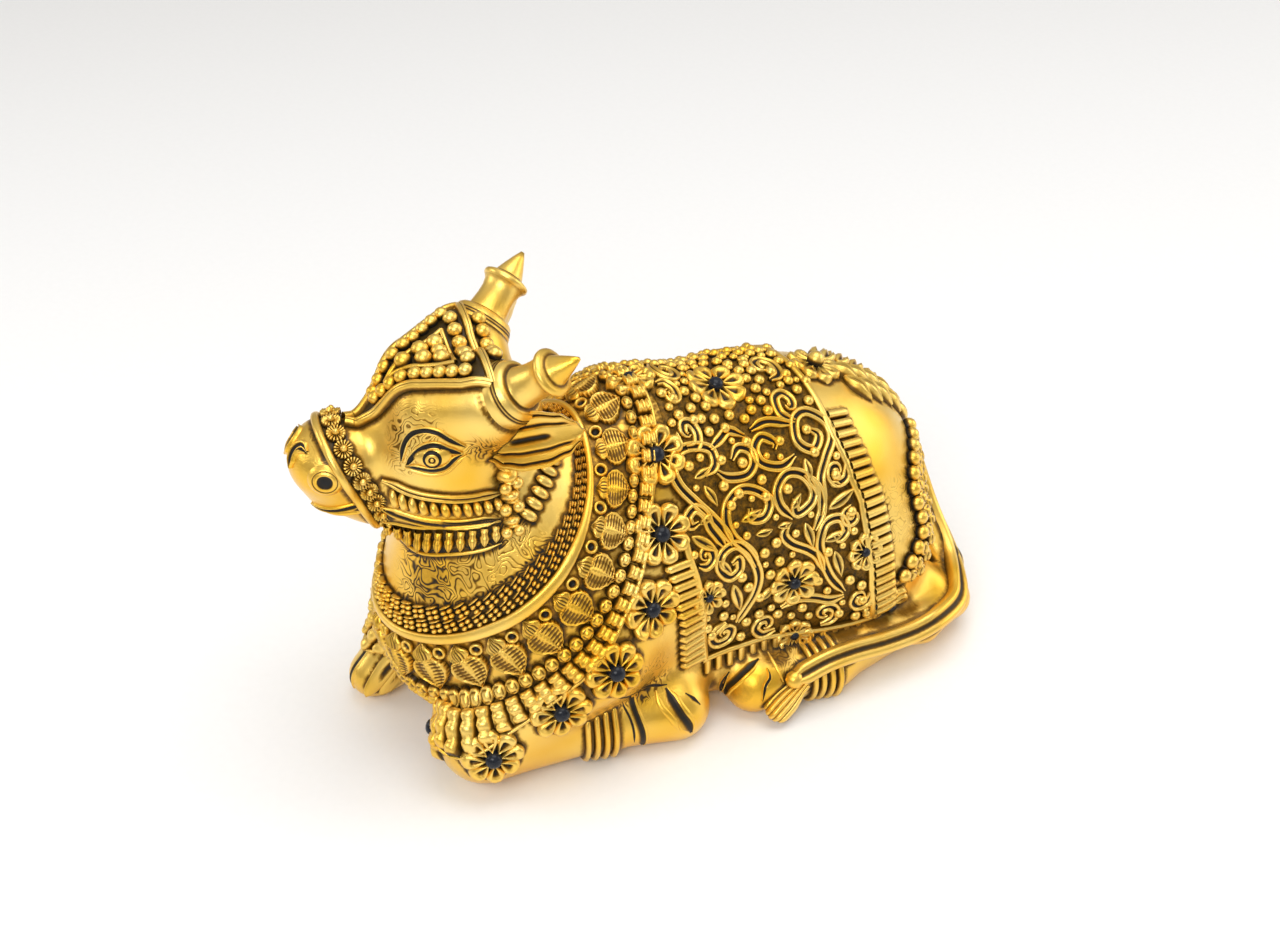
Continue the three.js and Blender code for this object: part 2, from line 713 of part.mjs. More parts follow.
// The noseband goes right round the muzzle, leaning back towards the chin
function noseband() {
  const stations = [];
  for (let i = 0; i < 12; i++) {
    const turn = radians(30 * i);
    const rise = Math.cos(turn);
    stations.push([[31.5 + 4 * rise, 0, -5], [0.27 * rise, Math.sin(turn), rise]]);
  }
  return bar(strap(stations, 2.6, 2.2, [1, 0, 0]), true);
}

// Cheek and jaw straps run back from the noseband to below the ear
function cheekStraps(side) {
  const cheek = [];
  const jaw = [];
  for (let i = 0; i <= 8; i++) {
    const share = i / 8;
    cheek.push([[31 - 42 * share, 0, -5 - 10 * share], [0, side, -0.1]]);
    jaw.push([[28 - 34 * share, 0, -14], [0, side * 0.8, -0.9 + 0.25 * share]]);
  }
  return [bar(strap(cheek, 2.4, 1.8, [0, 0, 1])), bar(strap(jaw, 2.6, 2, [0, side * 0.7, 0.7]))];
}

// Eyes: an almond lid round a domed ball
const EYE = { middle: [10, 8.5], half: [12, 5.5] };

function eye(side) {
  const sections = [];
  for (let i = 0; i < 10; i++) {
    const turn = (2 * Math.PI * i) / 10;
    const pinch = 1 - 0.55 * Math.cos(turn) ** 4;
    const lid = (share) => {
      const forward = EYE.middle[0] + share * EYE.half[0] * Math.cos(turn);
      const height = EYE.middle[1] + share * EYE.half[1] * Math.sin(turn) * pinch;
      return onFace([forward, 0, height], [0, side, 0.05]);
    };
    sections.push([
      raised(lid(1.12), -1),
      raised(lid(1), 1.1),
      raised(lid(0.8), -1),
    ]);
  }
  const ball = new THREE.IcosahedronGeometry(4.6, 0);
  ball.translate(...raised(onFace([EYE.middle[0], 0, EYE.middle[1] - 0.5], [0, side, 0.05]), -2.6));
  return [bar(sections, true), solidOfGeometry(ball)];
}

// Anklets: four turned ridges round a limb
const ANKLETS = [
  { from: [35.6, -54.5, 13], to: [38.4, -42.5, 13], radius: 13.8 },
  { from: [49.3, 31, 11], to: [49.6, 42, 11], radius: 11.6 },
  { from: [-49.3, 31, 11], to: [-49.6, 42, 11], radius: 11.6 },
];

function anklet({ from, to, radius }) {
  const points = [new THREE.Vector2(0, -1)];
  for (let i = 0; i < 4; i++) {
    points.push(new THREE.Vector2(radius - 1.4, 3.2 * i - 0.6), new THREE.Vector2(radius, 3.2 * i + 1));
  }
  points.push(new THREE.Vector2(radius - 1.4, 12.2), new THREE.Vector2(0, 12.6));
  const geometry = new THREE.LatheGeometry(points, 9);
  aim(geometry, from, unit(plus(to, from, -1)));
  return solidOfGeometry(geometry);
}

// Thinning: corners that lie close are joined in pairs, where that moves the surface least

function listsOf(solid) {
  const { vertProperties, triVerts } = solid.getMesh();
  const corners = [];
  const faces = [];
  for (let i = 0; i < vertProperties.length; i += 3) corners.push(Array.from(vertProperties.slice(i, i + 3)));
  for (let i = 0; i < triVerts.length; i += 3) faces.push(Array.from(triVerts.slice(i, i + 3)));
  return { corners, faces };
}

function thinned({ corners, faces }, most) {
  let shape = { corners, faces };
  for (let round = 0; round < 40 && shape.faces.length > most; round++) {
    const before = shape.faces.length;
    shape = joinedOnce(shape, most);
    if (shape.faces.length === before) break;
  }
  return parted(shape);
}

// Corners of two sheets that fall on one place are drawn a little way into their own sides
function parted({ corners, faces }) {
  const inward = corners.map(() => [0, 0, 0]);
  for (const face of faces) {
    const [a, b, c] = face.map((corner) => corners[corner]);
    const normal = cross(plus(b, a, -1), plus(c, a, -1));
    for (const corner of face) inward[corner] = plus(inward[corner], normal, -1);
  }
  const places = new Map();
  corners.forEach((corner, i) => {
    const key = corner.map((value) => Math.round(value / TWIN_GAP)).join();
    places.set(key, [...(places.get(key) ?? []), i]);
  });
  const apart = corners.map((corner) => corner);
  for (const twins of places.values()) {
    if (twins.length < 2) continue;
    for (const i of twins) apart[i] = plus(corners[i], unit(inward[i]), 0.05);
  }
  return { corners: apart, faces };
}

// One round: the cheapest joins whose neighbourhoods don't touch
function joinedOnce({ corners, faces }, most) {
  const around = corners.map(() => []);
  faces.forEach((face, i) => face.forEach((corner) => around[corner].push(i)));
  const spreads = corners.map((_, i) => spreadAt(i, corners, faces, around));
  const joins = [];
  for (const face of faces) {
    for (let i = 0; i < 3; i++) {
      const [a, b] = [face[i], face[(i + 1) % 3]];
      if (a < b) joins.push(cheapestJoin(a, b, corners, spreads));
    }
  }
  joins.sort((first, second) => first.cost - second.cost);
  const allowed = Math.ceil((faces.length - most) / 2);
  const busy = new Set();
  const moved = new Map();
  let made = 0;
  for (const join of joins.slice(0, Math.ceil(joins.length / 3))) {
    if (made >= allowed) break;
    const near = new Set([...around[join.a], ...around[join.b]].flatMap((i) => faces[i]));
    if ([...near].some((corner) => busy.has(corner))) continue;
    if (!canJoin(join, corners, faces, around)) continue;
    near.forEach((corner) => busy.add(corner));
    moved.set(join.b, join.a);
    corners[join.a] = join.place;
    made += 1;
  }
  const renamed = faces.map((face) => face.map((corner) => moved.get(corner) ?? corner));
  return compacted(corners, renamed.filter(([a, b, c]) => a !== b && b !== c && c !== a));
}

// The planes round a corner: how far a point lies from each, weighted by the triangle's area
function spreadAt(corner, corners, faces, around) {
  return around[corner].map((i) => {
    const [a, b, c] = faces[i].map((index) => corners[index]);
    const normal = cross(plus(b, a, -1), plus(c, a, -1));
    const size = Math.max(Math.hypot(...normal), 1e-9);
    return { out: normal.map((value) => value / size), level: dot(normal, a) / size, area: size };
  });
}

const costAt = (place, planes) =>
  planes.reduce((sum, { out, level, area }) => sum + area * (dot(out, place) - level) ** 2, 0);

function cheapestJoin(a, b, corners, spreads) {
  const planes = [...spreads[a], ...spreads[b]];
  const [first, second] = [corners[a], corners[b]];
  const middle = plus(first, plus(second, first, -1), 0.5);
  const onGround = (place) => Math.abs(place[2]) < 1e-4;
  let places = [first, second, middle];
  if (onGround(first) !== onGround(second)) places = [onGround(first) ? first : second];
  const costs = places.map((place) => costAt(place, planes));
  const best = costs.indexOf(Math.min(...costs));
  const length = Math.hypot(...plus(first, second, -1));
  const care = isOfHead(first) ? HEAD_CARE : 1;
  return { a, b, place: places[best], cost: care * (costs[best] + length * 1e-3) };
}

// The head, its horns and its bridle are thinned less than the trunk.
const isOfHead = ([, y, z]) => z > HEAD_LEVEL && y < -50;

// A join is sound where its ends share just two neighbours and no face beside it turns over
function canJoin({ a, b, place }, corners, faces, around) {
  const neighbours = (corner) => new Set(around[corner].flatMap((i) => faces[i]));
  const besideB = neighbours(b);
  const shared = [...neighbours(a)].filter((corner) => besideB.has(corner) && corner !== a && corner !== b);
  if (shared.length !== 2) return false;
  for (const i of new Set([...around[a], ...around[b]])) {
    const face = faces[i];
    if (face.includes(a) && face.includes(b)) continue;
    const old = face.map((corner) => corners[corner]);
    const next = face.map((corner) => (corner === a || corner === b ? place : corners[corner]));
    if (!keepsFacing(old, next)) return false;
  }
  return true;
}

function keepsFacing(old, next) {
  const [before, after] = [old, next].map(([a, b, c]) => cross(plus(b, a, -1), plus(c, a, -1)));
  const size = Math.hypot(...after);
  if (size < 0.02) return false;
  const sliver = Math.hypot(...before) < 0.02;
  return sliver || dot(before, after) > 0.3 * Math.hypot(...before) * size;
}

function compacted(corners, faces) {
  const names = new Map();
  const kept = [];
  const renamed = faces.map((face) => face.map((corner) => {
    if (!names.has(corner)) {
      names.set(corner, kept.length);
      kept.push(corners[corner]);
    }
    return names.get(corner);
  }));
  return { corners: kept, faces: renamed };
}

// The whole casting, with its underside cut flat by a block that reaches past the grid all round
function everything() {
  const lines = [gridLines(GRID.across), gridLines(GRID.along), gridLines(GRID.upward)];
  const parts = [surfaceOf(figure, lines), saddleCloth(), collar(), garland(), foreheadPlate(), noseband()];
  parts.push(...neckLeaves(), ...garlandFlowers(), ...croupLeaves(), ...harnessFlowers());
  parts.push(...ANKLETS.map(anklet));
  for (const side of [1, -1]) {
    parts.push(horn(side), ear(side), harness(side), ...eye(side), ...cheekStraps(side));
    parts.push(...fringes(side), ...clothFlowers(side), ...SCROLLS.map((shape) => scroll(shape, side)));
  }
  const whole = parts.reduce((sum, part) => sum.add(part));
  const side = 3 * Math.abs(GRID.along.start);
  const depth = 3 * Math.abs(GRID.upward.start);
  const below = new THREE.BoxGeometry(side, side, depth);
  below.translate(0, 0, depth / -2);
  return whole.subtract(solidOfGeometry(below));
}

function meshOf({ corners, faces }, name, look) {
  const geometry = new THREE.BufferGeometry();
  geometry.setAttribute("position", new THREE.Float32BufferAttribute(corners.flat(), 3));
  geometry.setIndex(faces.flat());
  geometry.scale(LENGTH / DRAWN_LENGTH, LENGTH / DRAWN_LENGTH, LENGTH / DRAWN_LENGTH);
  const mesh = new THREE.Mesh(geometry, new THREE.MeshStandardMaterial(look));
  mesh.name = name;
  return mesh;
}

const bull = new THREE.Group();
bull.add(meshOf(thinned(listsOf(everything()), MOST_TRIANGLES), "nandi_bull", GOLD));

export default bull;
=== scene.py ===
# %% [markdown]
# # A recumbent temple bull in antiqued gold metal
# The real figure is one hollow casting, taken here to be about 250 mm long. A smooth animal form
# carries raised jewellery: a saddle cloth of scrolls, bead collars, garlands, flowers and a bridle.
# The metal is gold in colour wherever it is rubbed, and a dark patina is left in every recess.
# This lesson builds the form first, then lays each family of ornament on it, then the finish.

# %% [markdown]
# ## The frame
# The CAD model is loaded as a fixed frame, and every piece made here sits on it.

# %% Load the frame
import json
import math
import bpy
import numpy as np
from mathutils import Matrix
from mathutils.kdtree import KDTree

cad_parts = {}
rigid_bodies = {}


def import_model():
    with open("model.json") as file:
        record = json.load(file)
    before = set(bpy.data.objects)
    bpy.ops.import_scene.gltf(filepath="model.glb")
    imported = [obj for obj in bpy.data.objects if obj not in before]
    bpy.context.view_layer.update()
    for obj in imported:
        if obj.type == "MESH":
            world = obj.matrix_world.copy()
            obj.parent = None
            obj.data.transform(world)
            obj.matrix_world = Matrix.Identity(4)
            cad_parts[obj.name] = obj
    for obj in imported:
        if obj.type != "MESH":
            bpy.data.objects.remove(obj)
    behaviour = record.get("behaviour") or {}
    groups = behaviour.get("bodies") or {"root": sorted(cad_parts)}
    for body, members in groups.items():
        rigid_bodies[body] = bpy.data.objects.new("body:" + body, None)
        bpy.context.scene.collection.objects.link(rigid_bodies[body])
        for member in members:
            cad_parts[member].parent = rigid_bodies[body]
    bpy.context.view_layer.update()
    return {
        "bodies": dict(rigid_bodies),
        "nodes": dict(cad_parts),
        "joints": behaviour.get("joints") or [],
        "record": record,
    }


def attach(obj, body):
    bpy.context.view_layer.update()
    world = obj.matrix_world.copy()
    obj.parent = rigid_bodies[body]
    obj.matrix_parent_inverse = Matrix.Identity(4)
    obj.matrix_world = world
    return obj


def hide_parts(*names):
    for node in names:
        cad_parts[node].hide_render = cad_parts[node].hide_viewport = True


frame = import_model()
MM = 0.001

# %% [markdown]
# ## The camera
# The photograph looks down on the bull's left front quarter. A camera is a place, a direction and a
# focal length: the direction comes from two angles, and the place from one point of the near knee,
# whose distance and pixel are known. Working it out this way keeps each number readable.

# %% Objects in the scene
def in_scene(name, data):
    """A new object in the scene."""
    thing = bpy.data.objects.new(name, data)
    bpy.context.scene.collection.objects.link(thing)
    return thing


def stand(thing, right, up, back, place):
    """Turns and places a camera or a light by its own three axes."""
    axes = np.column_stack([right, up, back, place])
    thing.matrix_world = Matrix([*axes.tolist(), [0, 0, 0, 1]])

# %% Set the camera
IMAGE_WIDTH, IMAGE_HEIGHT = 1280, 936
AZIMUTH, ELEVATION = math.radians(60), math.radians(35)
FOCAL_PIXELS = 2000
KNEE_POINT, KNEE_PIXEL, KNEE_DISTANCE = np.array([30.0, -95.0, 0.0]), (470, 780), 700
SENSOR_WIDTH = 36

BACKWARD = np.array([math.sin(AZIMUTH) * math.cos(ELEVATION),
                     -math.cos(AZIMUTH) * math.cos(ELEVATION),
                     math.sin(ELEVATION)])
RIGHTWARD = np.array([math.cos(AZIMUTH), math.sin(AZIMUTH), 0.0])
UPWARD = np.cross(BACKWARD, RIGHTWARD)
sideways = (KNEE_PIXEL[0] - IMAGE_WIDTH / 2) / FOCAL_PIXELS
downwards = (KNEE_PIXEL[1] - IMAGE_HEIGHT / 2) / FOCAL_PIXELS
knee_ray = RIGHTWARD * sideways - UPWARD * downwards - BACKWARD
camera_place = (KNEE_POINT - knee_ray * KNEE_DISTANCE) * MM

camera_data = bpy.data.cameras.new("camera")
camera_data.sensor_width = SENSOR_WIDTH
camera_data.lens = SENSOR_WIDTH * FOCAL_PIXELS / IMAGE_WIDTH
camera = in_scene("camera", camera_data)
stand(camera, RIGHTWARD, UPWARD, BACKWARD, camera_place)
bpy.context.scene.camera = camera
print("camera at", [round(value, 3) for value in camera_place])

# %% [markdown]
# ## A form made of distances
# A cast animal has no hard joins: chest, barrel and rump run into each other. One way to model that
# is to write how far any point is from each mass, as an egg or a tapering limb, and to blend those
# distances softly. Where the blended distance is nought, there is the skin. The same distances also
# say where an ornament touches the skin, so nothing has to be fitted by hand.

# %% Distances to eggs and limbs, and a soft blend
FAR_AWAY, TINY = 1e3, 1e-9


def to_egg(points, centre, radii):
    offset = points - centre
    near = np.sqrt(((offset / radii) ** 2).sum(-1))
    slope = np.sqrt(((offset / np.square(radii)) ** 2).sum(-1))
    return near * (near - 1) / np.maximum(slope, TINY)


def to_limb(points, start, end, radii):
    way = np.subtract(end, start)
    offset = points - start
    share = np.clip(offset @ way / (way @ way), 0, 1)
    gap = offset - share[..., None] * way
    return np.sqrt((gap ** 2).sum(-1)) - (radii[0] + (radii[1] - radii[0]) * share)


def blend(first, second, soft):
    overlap = np.maximum(soft - np.abs(first - second), 0) / soft
    return np.minimum(first, second) - overlap * overlap * soft / 4


def mirrored(points):
    return points * (-1, 1, 1)


def unit(ways):
    """The same directions with a length of one."""
    return ways / np.linalg.norm(ways, axis=-1, keepdims=True)


def blended(points, masses, distance):
    nearest = np.full(len(points), FAR_AWAY)
    for *shape, soft, twin in masses:
        nearest = blend(nearest, distance(points, *shape), soft)
        if twin:
            nearest = blend(nearest, distance(mirrored(points), *shape), soft)
    return nearest

# %% [markdown]
# ## The bull's masses
# Each mass gives its centre and radii, or its two ends and radii, then how softly it joins the ones
# before it and whether the other side has a twin. All are in millimetres, with the bull facing -Y.

# %% Masses of the trunk, legs and tail
ALONE, TWIN = False, True
TRUNK = [
    ((0, -61, 53), (40, 48, 44), 1, ALONE),
    ((0, -18, 62), (43, 42, 52), 20, ALONE),
    ((0, 26, 57), (45, 56, 57), 20, ALONE),
    ((0, 59, 50), (45, 47, 53), 16, ALONE),
    ((0, -16, 98), (20, 24, 22), 20, ALONE),
    ((27, 60, 36), (23, 38, 34), 10, TWIN),
    ((27, -42, 48), (20, 34, 38), 16, TWIN),
    ((0, 10, 18), (42, 86, 28), 14, ALONE),
]
NECK = ((-1, -62, 80), (-5, -82, 107), (37, 24))
NECK_SOFTNESS = 18
NEAR_FORELEG = [
    ((33, -48, 44), (30, -88, 22), (22, 15), 8, ALONE),
    ((28.5, -88, 15), (37.5, -47, 13), (15, 11), 8, ALONE),
    ((37.5, -47, 13), (43, -20, 12), (11, 13), 5, ALONE),
]
FAR_FORELEG = [
    ((-33, -50, 40), (-29, -84, 32), (22, 13), 8, ALONE),
    ((-29, -86, 32), (-31, -98, 14), (11, 9), 8, ALONE),
    ((-31, -99, 10), (-31, -104, 8), (10, 9), 4, ALONE),
]
HIND_LEGS = [
    ((36, 92, 12), (49, 42, 10), (14, 10), 8, TWIN),
    ((49, 42, 10), (46, 12, 11), (10, 11), 5, TWIN),
]
TAIL_PATH = [(0, 97, 72), (4, 103, 52), (14, 109, 30), (29, 110, 16), (43, 102, 12),
             (52, 82, 14), (52, 60, 16), (51, 44, 17), (53, 29, 15)]
TAIL_RADII = [6, 6.5, 7, 7.5, 8, 7.5, 6, 5, 4]
LEG_SOFTNESS, HEAD_SOFTNESS, TAIL_SOFTNESS = 7, 8, 2


def trunk(points):
    return blend(blended(points, TRUNK, to_egg), to_limb(points, *NECK), NECK_SOFTNESS)


def legs(points):
    limbs = [blended(points, masses, to_limb) for masses in (NEAR_FORELEG, FAR_FORELEG, HIND_LEGS)]
    return np.min(limbs, axis=0)


def tail(points):
    lengths = zip(TAIL_PATH, TAIL_PATH[1:], zip(TAIL_RADII, TAIL_RADII[1:]))
    return blended(points, [(*length, TAIL_SOFTNESS, ALONE) for length in lengths], to_limb)


def trunk_and_legs(points):
    return blend(trunk(points), legs(points), LEG_SOFTNESS)

# %% [markdown]
# ## The head's own frame
# The head turns a little to the bull's right and nods, so it is easier to model straight, in its own
# frame of forward, left and up, and to turn each point into that frame. Both sides are the same, so
# only the left is described.

# %% Masses of the head
HEAD_CENTRE = np.array([-3.0, -78.0, 122.0])
HEAD_TURN, HEAD_NOD = math.radians(13), math.radians(4)
HEAD_FORWARD = np.array([-math.sin(HEAD_TURN) * math.cos(HEAD_NOD),
                         -math.cos(HEAD_TURN) * math.cos(HEAD_NOD),
                         -math.sin(HEAD_NOD)])
HEAD_LEFT = np.cross([0, 0, 1], HEAD_FORWARD)
HEAD_LEFT /= np.linalg.norm(HEAD_LEFT)
HEAD_AXES = np.array([HEAD_FORWARD, HEAD_LEFT, np.cross(HEAD_FORWARD, HEAD_LEFT)])
HEAD_EGGS = [
    ((-2, 0, 2), (28, 23, 25), 1, ALONE),
    ((41.5, 0, 1), (14, 16, 13), 8, ALONE),
    ((36.5, 0, -11.5), (13, 12, 7.5), 8, ALONE),
    ((8, 15, 8), (12, 7, 8), 6, ALONE),
]
HEAD_LIMBS = [
    ((8, 0, 2), (30, 0, 0), (20, 8), 12),
    ((0, 0, -18), (30, 0, -17), (15, 10), 8),
    ((-9, 15, 19), (8, 9, 18), (15, 12), 5),
    ((8, 0, 17), (28, 0, 0.5), (12.5, 7.5), 5),
]


def on_head(local):
    return HEAD_CENTRE + np.asarray(local, float) @ HEAD_AXES


def head(points):
    local = (points - HEAD_CENTRE) @ HEAD_AXES.T
    local[:, 1] = np.abs(local[:, 1])
    nearest = blended(local, HEAD_EGGS, to_egg)
    for *shape, soft in HEAD_LIMBS:
        nearest = blend(nearest, to_limb(local, *shape), soft)
    return nearest


def figure(points):
    whole = blend(trunk_and_legs(points), head(points), HEAD_SOFTNESS)
    whole = blend(whole, tail(points), TAIL_SOFTNESS)
    return np.maximum(whole, -points[:, 2])


print("head turned", round(math.degrees(HEAD_TURN)), "degrees to its right")

# %% [markdown]
# ## From distances to a mesh
# Surface nets turn a field of distances into an even skin of four-sided faces: each grid cell that
# the skin passes through gets one corner, at the mean of the places where its edges cross. It gives
# smoother shading than a voxel remesh, because each corner lies close to the true surface. Blocks
# of the grid that lie far from the skin are skipped, which saves most of the work.

# %% A grid of distances, and the skin through it
CELL, BLOCK = 1.2, 24
# Egg distances are not exact, so a block is skipped only this many block radii and cells away
SAFE_RADII, SAFE_CELLS = 2.2, 3
FORM_LOW, FORM_HIGH = np.array([-72.0, -142.0, -3.0]), np.array([72.0, 124.0, 168.0])


def distances_on_grid(form):
    counts = np.ceil((FORM_HIGH - FORM_LOW) / CELL).astype(int) + 1
    grid = np.full(counts, FAR_AWAY, np.float32)
    for corner in np.ndindex(*(-(-counts // BLOCK))):
        first = np.array(corner) * BLOCK
        last = np.minimum(first + BLOCK, counts)
        middle = FORM_LOW + CELL * (first + last - 1) / 2
        block_radius = CELL * np.linalg.norm(last - first) / 2
        depth = form(middle[None])[0]
        block = tuple(slice(a, b) for a, b in zip(first, last))
        if abs(depth) > SAFE_RADII * block_radius + SAFE_CELLS * CELL:
            grid[block] = depth
            continue
        lines = [FORM_LOW[a] + CELL * np.arange(first[a], last[a]) for a in range(3)]
        places = np.stack(np.meshgrid(*lines, indexing="ij"), -1)
        grid[block] = form(places.reshape(-1, 3)).reshape(places.shape[:3])
    return grid


def corners_on_skin(grid, cells):
    """The mean of the places where the skin crosses the edges of each cell."""
    total, hits = np.zeros((len(cells), 3)), np.zeros(len(cells))
    for start in np.ndindex(2, 2, 2):
        for axis in range(3):
            if start[axis]:
                continue
            step = np.eye(3, dtype=int)[axis]
            near = grid[tuple((cells + start).T)].astype(float)
            far = grid[tuple((cells + start + step).T)].astype(float)
            crossed = (near < 0) != (far < 0)
            share = np.where(crossed, near / np.where(crossed, near - far, 1), 0)
            total += crossed[:, None] * (start + share[:, None] * step)
            hits += crossed
    return FORM_LOW + CELL * (cells + total / hits[:, None])


def surface_net(grid):
    """Corners and faces of the skin between the places inside and outside the form."""
    inside = grid < 0
    cells_each_way = np.array(grid.shape) - 1
    count = np.zeros(cells_each_way, np.int8)
    for corner in np.ndindex(2, 2, 2):
        count += inside[tuple(slice(c, c + n) for c, n in zip(corner, cells_each_way))]
    cells = np.argwhere((count > 0) & (count < 8))
    number = np.full(cells_each_way, -1)
    number[tuple(cells.T)] = np.arange(len(cells))
    faces = [net_faces(inside, number, axis) for axis in range(3)]
    return corners_on_skin(grid, cells), np.concatenate(faces)


def net_faces(inside, number, axis):
    second, third = np.eye(3, dtype=int)[[(axis + 1) % 3, (axis + 2) % 3]]
    step = np.eye(3, dtype=int)[axis]
    inner = tuple(slice(None, -1) if a == axis else slice(1, -1) for a in range(3))
    ahead = tuple(slice(1, None) if a == axis else slice(1, -1) for a in range(3))
    base = np.argwhere(inside[inner] != inside[ahead]) + (1 - step)
    round_edge = [base, base - second, base - second - third, base - third]
    faces = np.stack([number[tuple(corner.T)] for corner in round_edge], 1)
    leaving = inside[tuple(base.T)]
    return np.where(leaving[:, None], faces, faces[:, ::-1])


def slopes(points, form, reach=0.6):
    here = form(points)
    ahead = [form(points + reach * step) for step in np.eye(3)]
    slope = np.stack(ahead, -1) - here[:, None]
    return slope / np.maximum(np.linalg.norm(slope, axis=-1, keepdims=True), TINY)


grid = distances_on_grid(figure)
skin_points, skin_faces = surface_net(grid)
print("skin:", len(skin_points), "corners,", len(skin_faces), "faces")

# %% [markdown]
# ## Making pieces
# Every family of ornament is gathered into one mesh. Beside its points and faces it keeps a value at
# each point for patina and painted shade: 0 on a rubbed high place and 1 deep in a recess, and on
# the body and the neck leaves it also holds painted shade. The finish reads that value, so the dark
# lines of the casting are part of the model and don't depend on the light.

# %% A gatherer for points, faces and tarnish
def fill_mesh(mesh, corners, faces):
    """Puts corners and faces into an empty mesh: each array holds faces of one number of sides."""
    sizes = np.concatenate([np.full(len(face), face.shape[1]) for face in faces])
    loops = np.concatenate([face.ravel() for face in faces])
    mesh.vertices.add(len(corners))
    mesh.vertices.foreach_set("co", (corners * MM).ravel())
    mesh.loops.add(len(loops))
    mesh.loops.foreach_set("vertex_index", loops)
    mesh.polygons.add(len(sizes))
    mesh.polygons.foreach_set("loop_start", np.cumsum(sizes) - sizes)
    mesh.polygons.foreach_set("use_smooth", np.full(len(sizes), True))


def keep_value(mesh, name, values):
    """Keeps a value at each point of a mesh, for the finish to read."""
    layer = mesh.attributes.new(name, "FLOAT", "POINT")
    layer.data.foreach_set("value", values.astype(np.float32))


class Relief:
    """Points, faces and tarnish, gathered from many parts and made into one mesh."""
    laid = []

    def __init__(self):
        self.points, self.faces, self.tarnish, self.count = [], [], [], 0

    def add(self, points, faces, tarnish):
        self.points.append(points)
        self.tarnish.append(np.broadcast_to(tarnish, len(points)))
        self.faces += [face + self.count for face in faces]
        self.count += len(points)

    def add_copies(self, pattern, middles, frames, sizes, form=None):
        """Copies of a pattern: frames are rows of across, along and out, and sizes scale each."""
        points, faces, tarnish = pattern
        sized = points * np.broadcast_to(sizes, (len(middles), 3))[:, None]
        if form is None:
            placed = np.einsum("npk,nkc->npc", sized, frames) + middles[:, None]
        else:
            flat = np.einsum("npk,nkc->npc", sized[..., :2], frames[:, :2]) + middles[:, None]
            outs = np.repeat(frames[:, 2], len(points), 0)
            placed = settle(flat.reshape(-1, 3), outs, form) + outs * sized[..., 2].reshape(-1, 1)
        starts = np.arange(len(middles))[:, None, None] * len(points)
        grown = [(face[None] + starts).reshape(-1, face.shape[1]) for face in faces]
        self.add(placed.reshape(-1, 3), grown, np.tile(tarnish, len(middles)))

    def pattern(self):
        return np.concatenate(self.points), self.faces, np.concatenate(self.tarnish)

    def piece(self, name, material, slot="gilt_brass", gathers_patina=True):
        """The gathered mesh as a piece of the casting, standing on the ground and not below it."""
        mesh = bpy.data.meshes.new(name)
        corners, faces, tarnish = self.pattern()
        corners[:, 2] = np.maximum(corners[:, 2], 0)
        if gathers_patina:
            Relief.laid.append(corners)
        fill_mesh(mesh, corners, faces)
        keep_value(mesh, "tarnish", tarnish)
        mesh.update(calc_edges=True)
        mesh.validate()
        mesh.materials.append(material)
        piece = in_scene(name, mesh)
        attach(piece, "root")
        mesh.calc_loop_triangles()
        print(f"{name}: {len(mesh.loop_triangles)} triangles")
        return piece

# %% [markdown]
# ## Patterns
# A pattern is a small shape that many copies share: points, faces and tarnish. A sheet of points is
# the simplest way to make one, because a height for each point is all that carving it takes.

# %% Sheets, rounds and bars as patterns
def sheet_faces(rows, columns, closed=False):
    """Faces of a sheet of rows by columns of points, joined round each row if closed."""
    row, column = np.meshgrid(np.arange(rows - 1), np.arange(columns - (not closed)), indexing="ij")
    beside = (column + 1) % columns
    corners = [row * columns + column, row * columns + beside,
               (row + 1) * columns + beside, (row + 1) * columns + column]
    return np.stack([corner.ravel() for corner in corners], 1)


def turned_pattern(profile, sides):
    """A shape turned about the out axis: the profile's rows are radius, height and tarnish."""
    profile = np.asarray(profile, float)
    turn = np.arange(sides) * 2 * math.pi / sides
    rings = np.stack([profile[:, :1] * np.cos(turn), profile[:, :1] * np.sin(turn),
                      profile[:, 1:2] + 0 * turn], -1)
    points = np.concatenate([rings.reshape(-1, 3), [[0, 0, profile[-1, 1]]]])
    faces = sheet_faces(len(profile), sides, closed=True)
    last = (len(profile) - 1) * sides + np.arange(sides)
    cap = np.stack([last, np.roll(last, -1), np.full(sides, len(points) - 1)], 1)
    tarnish = np.append(np.repeat(profile[:, 2], sides), profile[-1, 2])
    return points, [faces, cap], tarnish


BEAD_SIDES, BEAD_RINGS = 10, 5
BEAD_FOOT, BEAD_SPAN = -35, 125
BEAD_DARKNESS, BEAD_FADE = 0.75, 1.5


def bead_pattern():
    """A ball of unit radius sunk a little: dark round its foot and clean on top."""
    profile = []
    for i in range(BEAD_RINGS):
        rise = math.radians(BEAD_FOOT + BEAD_SPAN * i / BEAD_RINGS)
        dark = np.clip(BEAD_DARKNESS - BEAD_FADE * math.sin(rise), 0, 1)
        profile.append([math.cos(rise), math.sin(rise), dark])
    points, faces, tarnish = turned_pattern(profile, BEAD_SIDES)
    points[-1, 2] = 1
    return points, faces, tarnish


def symmetric(*half):
    """A band's profile from its outer edge to its middle, and the same back on the other side."""
    return list(half) + [(-offset, height, dark) for offset, height, dark in half[::-1] if offset]


BEAD = bead_pattern()

# %% [markdown]
# ## Landing on the skin
# An ornament is placed by a ray: from inside the body outwards, or from above back down to it. The
# ray steps by the distance to the skin, so it lands in a few steps whichever way the skin curves.

# %% Rays that land on the form
LANDING_STEPS, FIRST_REACH = 26, 4.0
LANDING_SHARE, SETTLING_SHARE = 0.85, 0.9


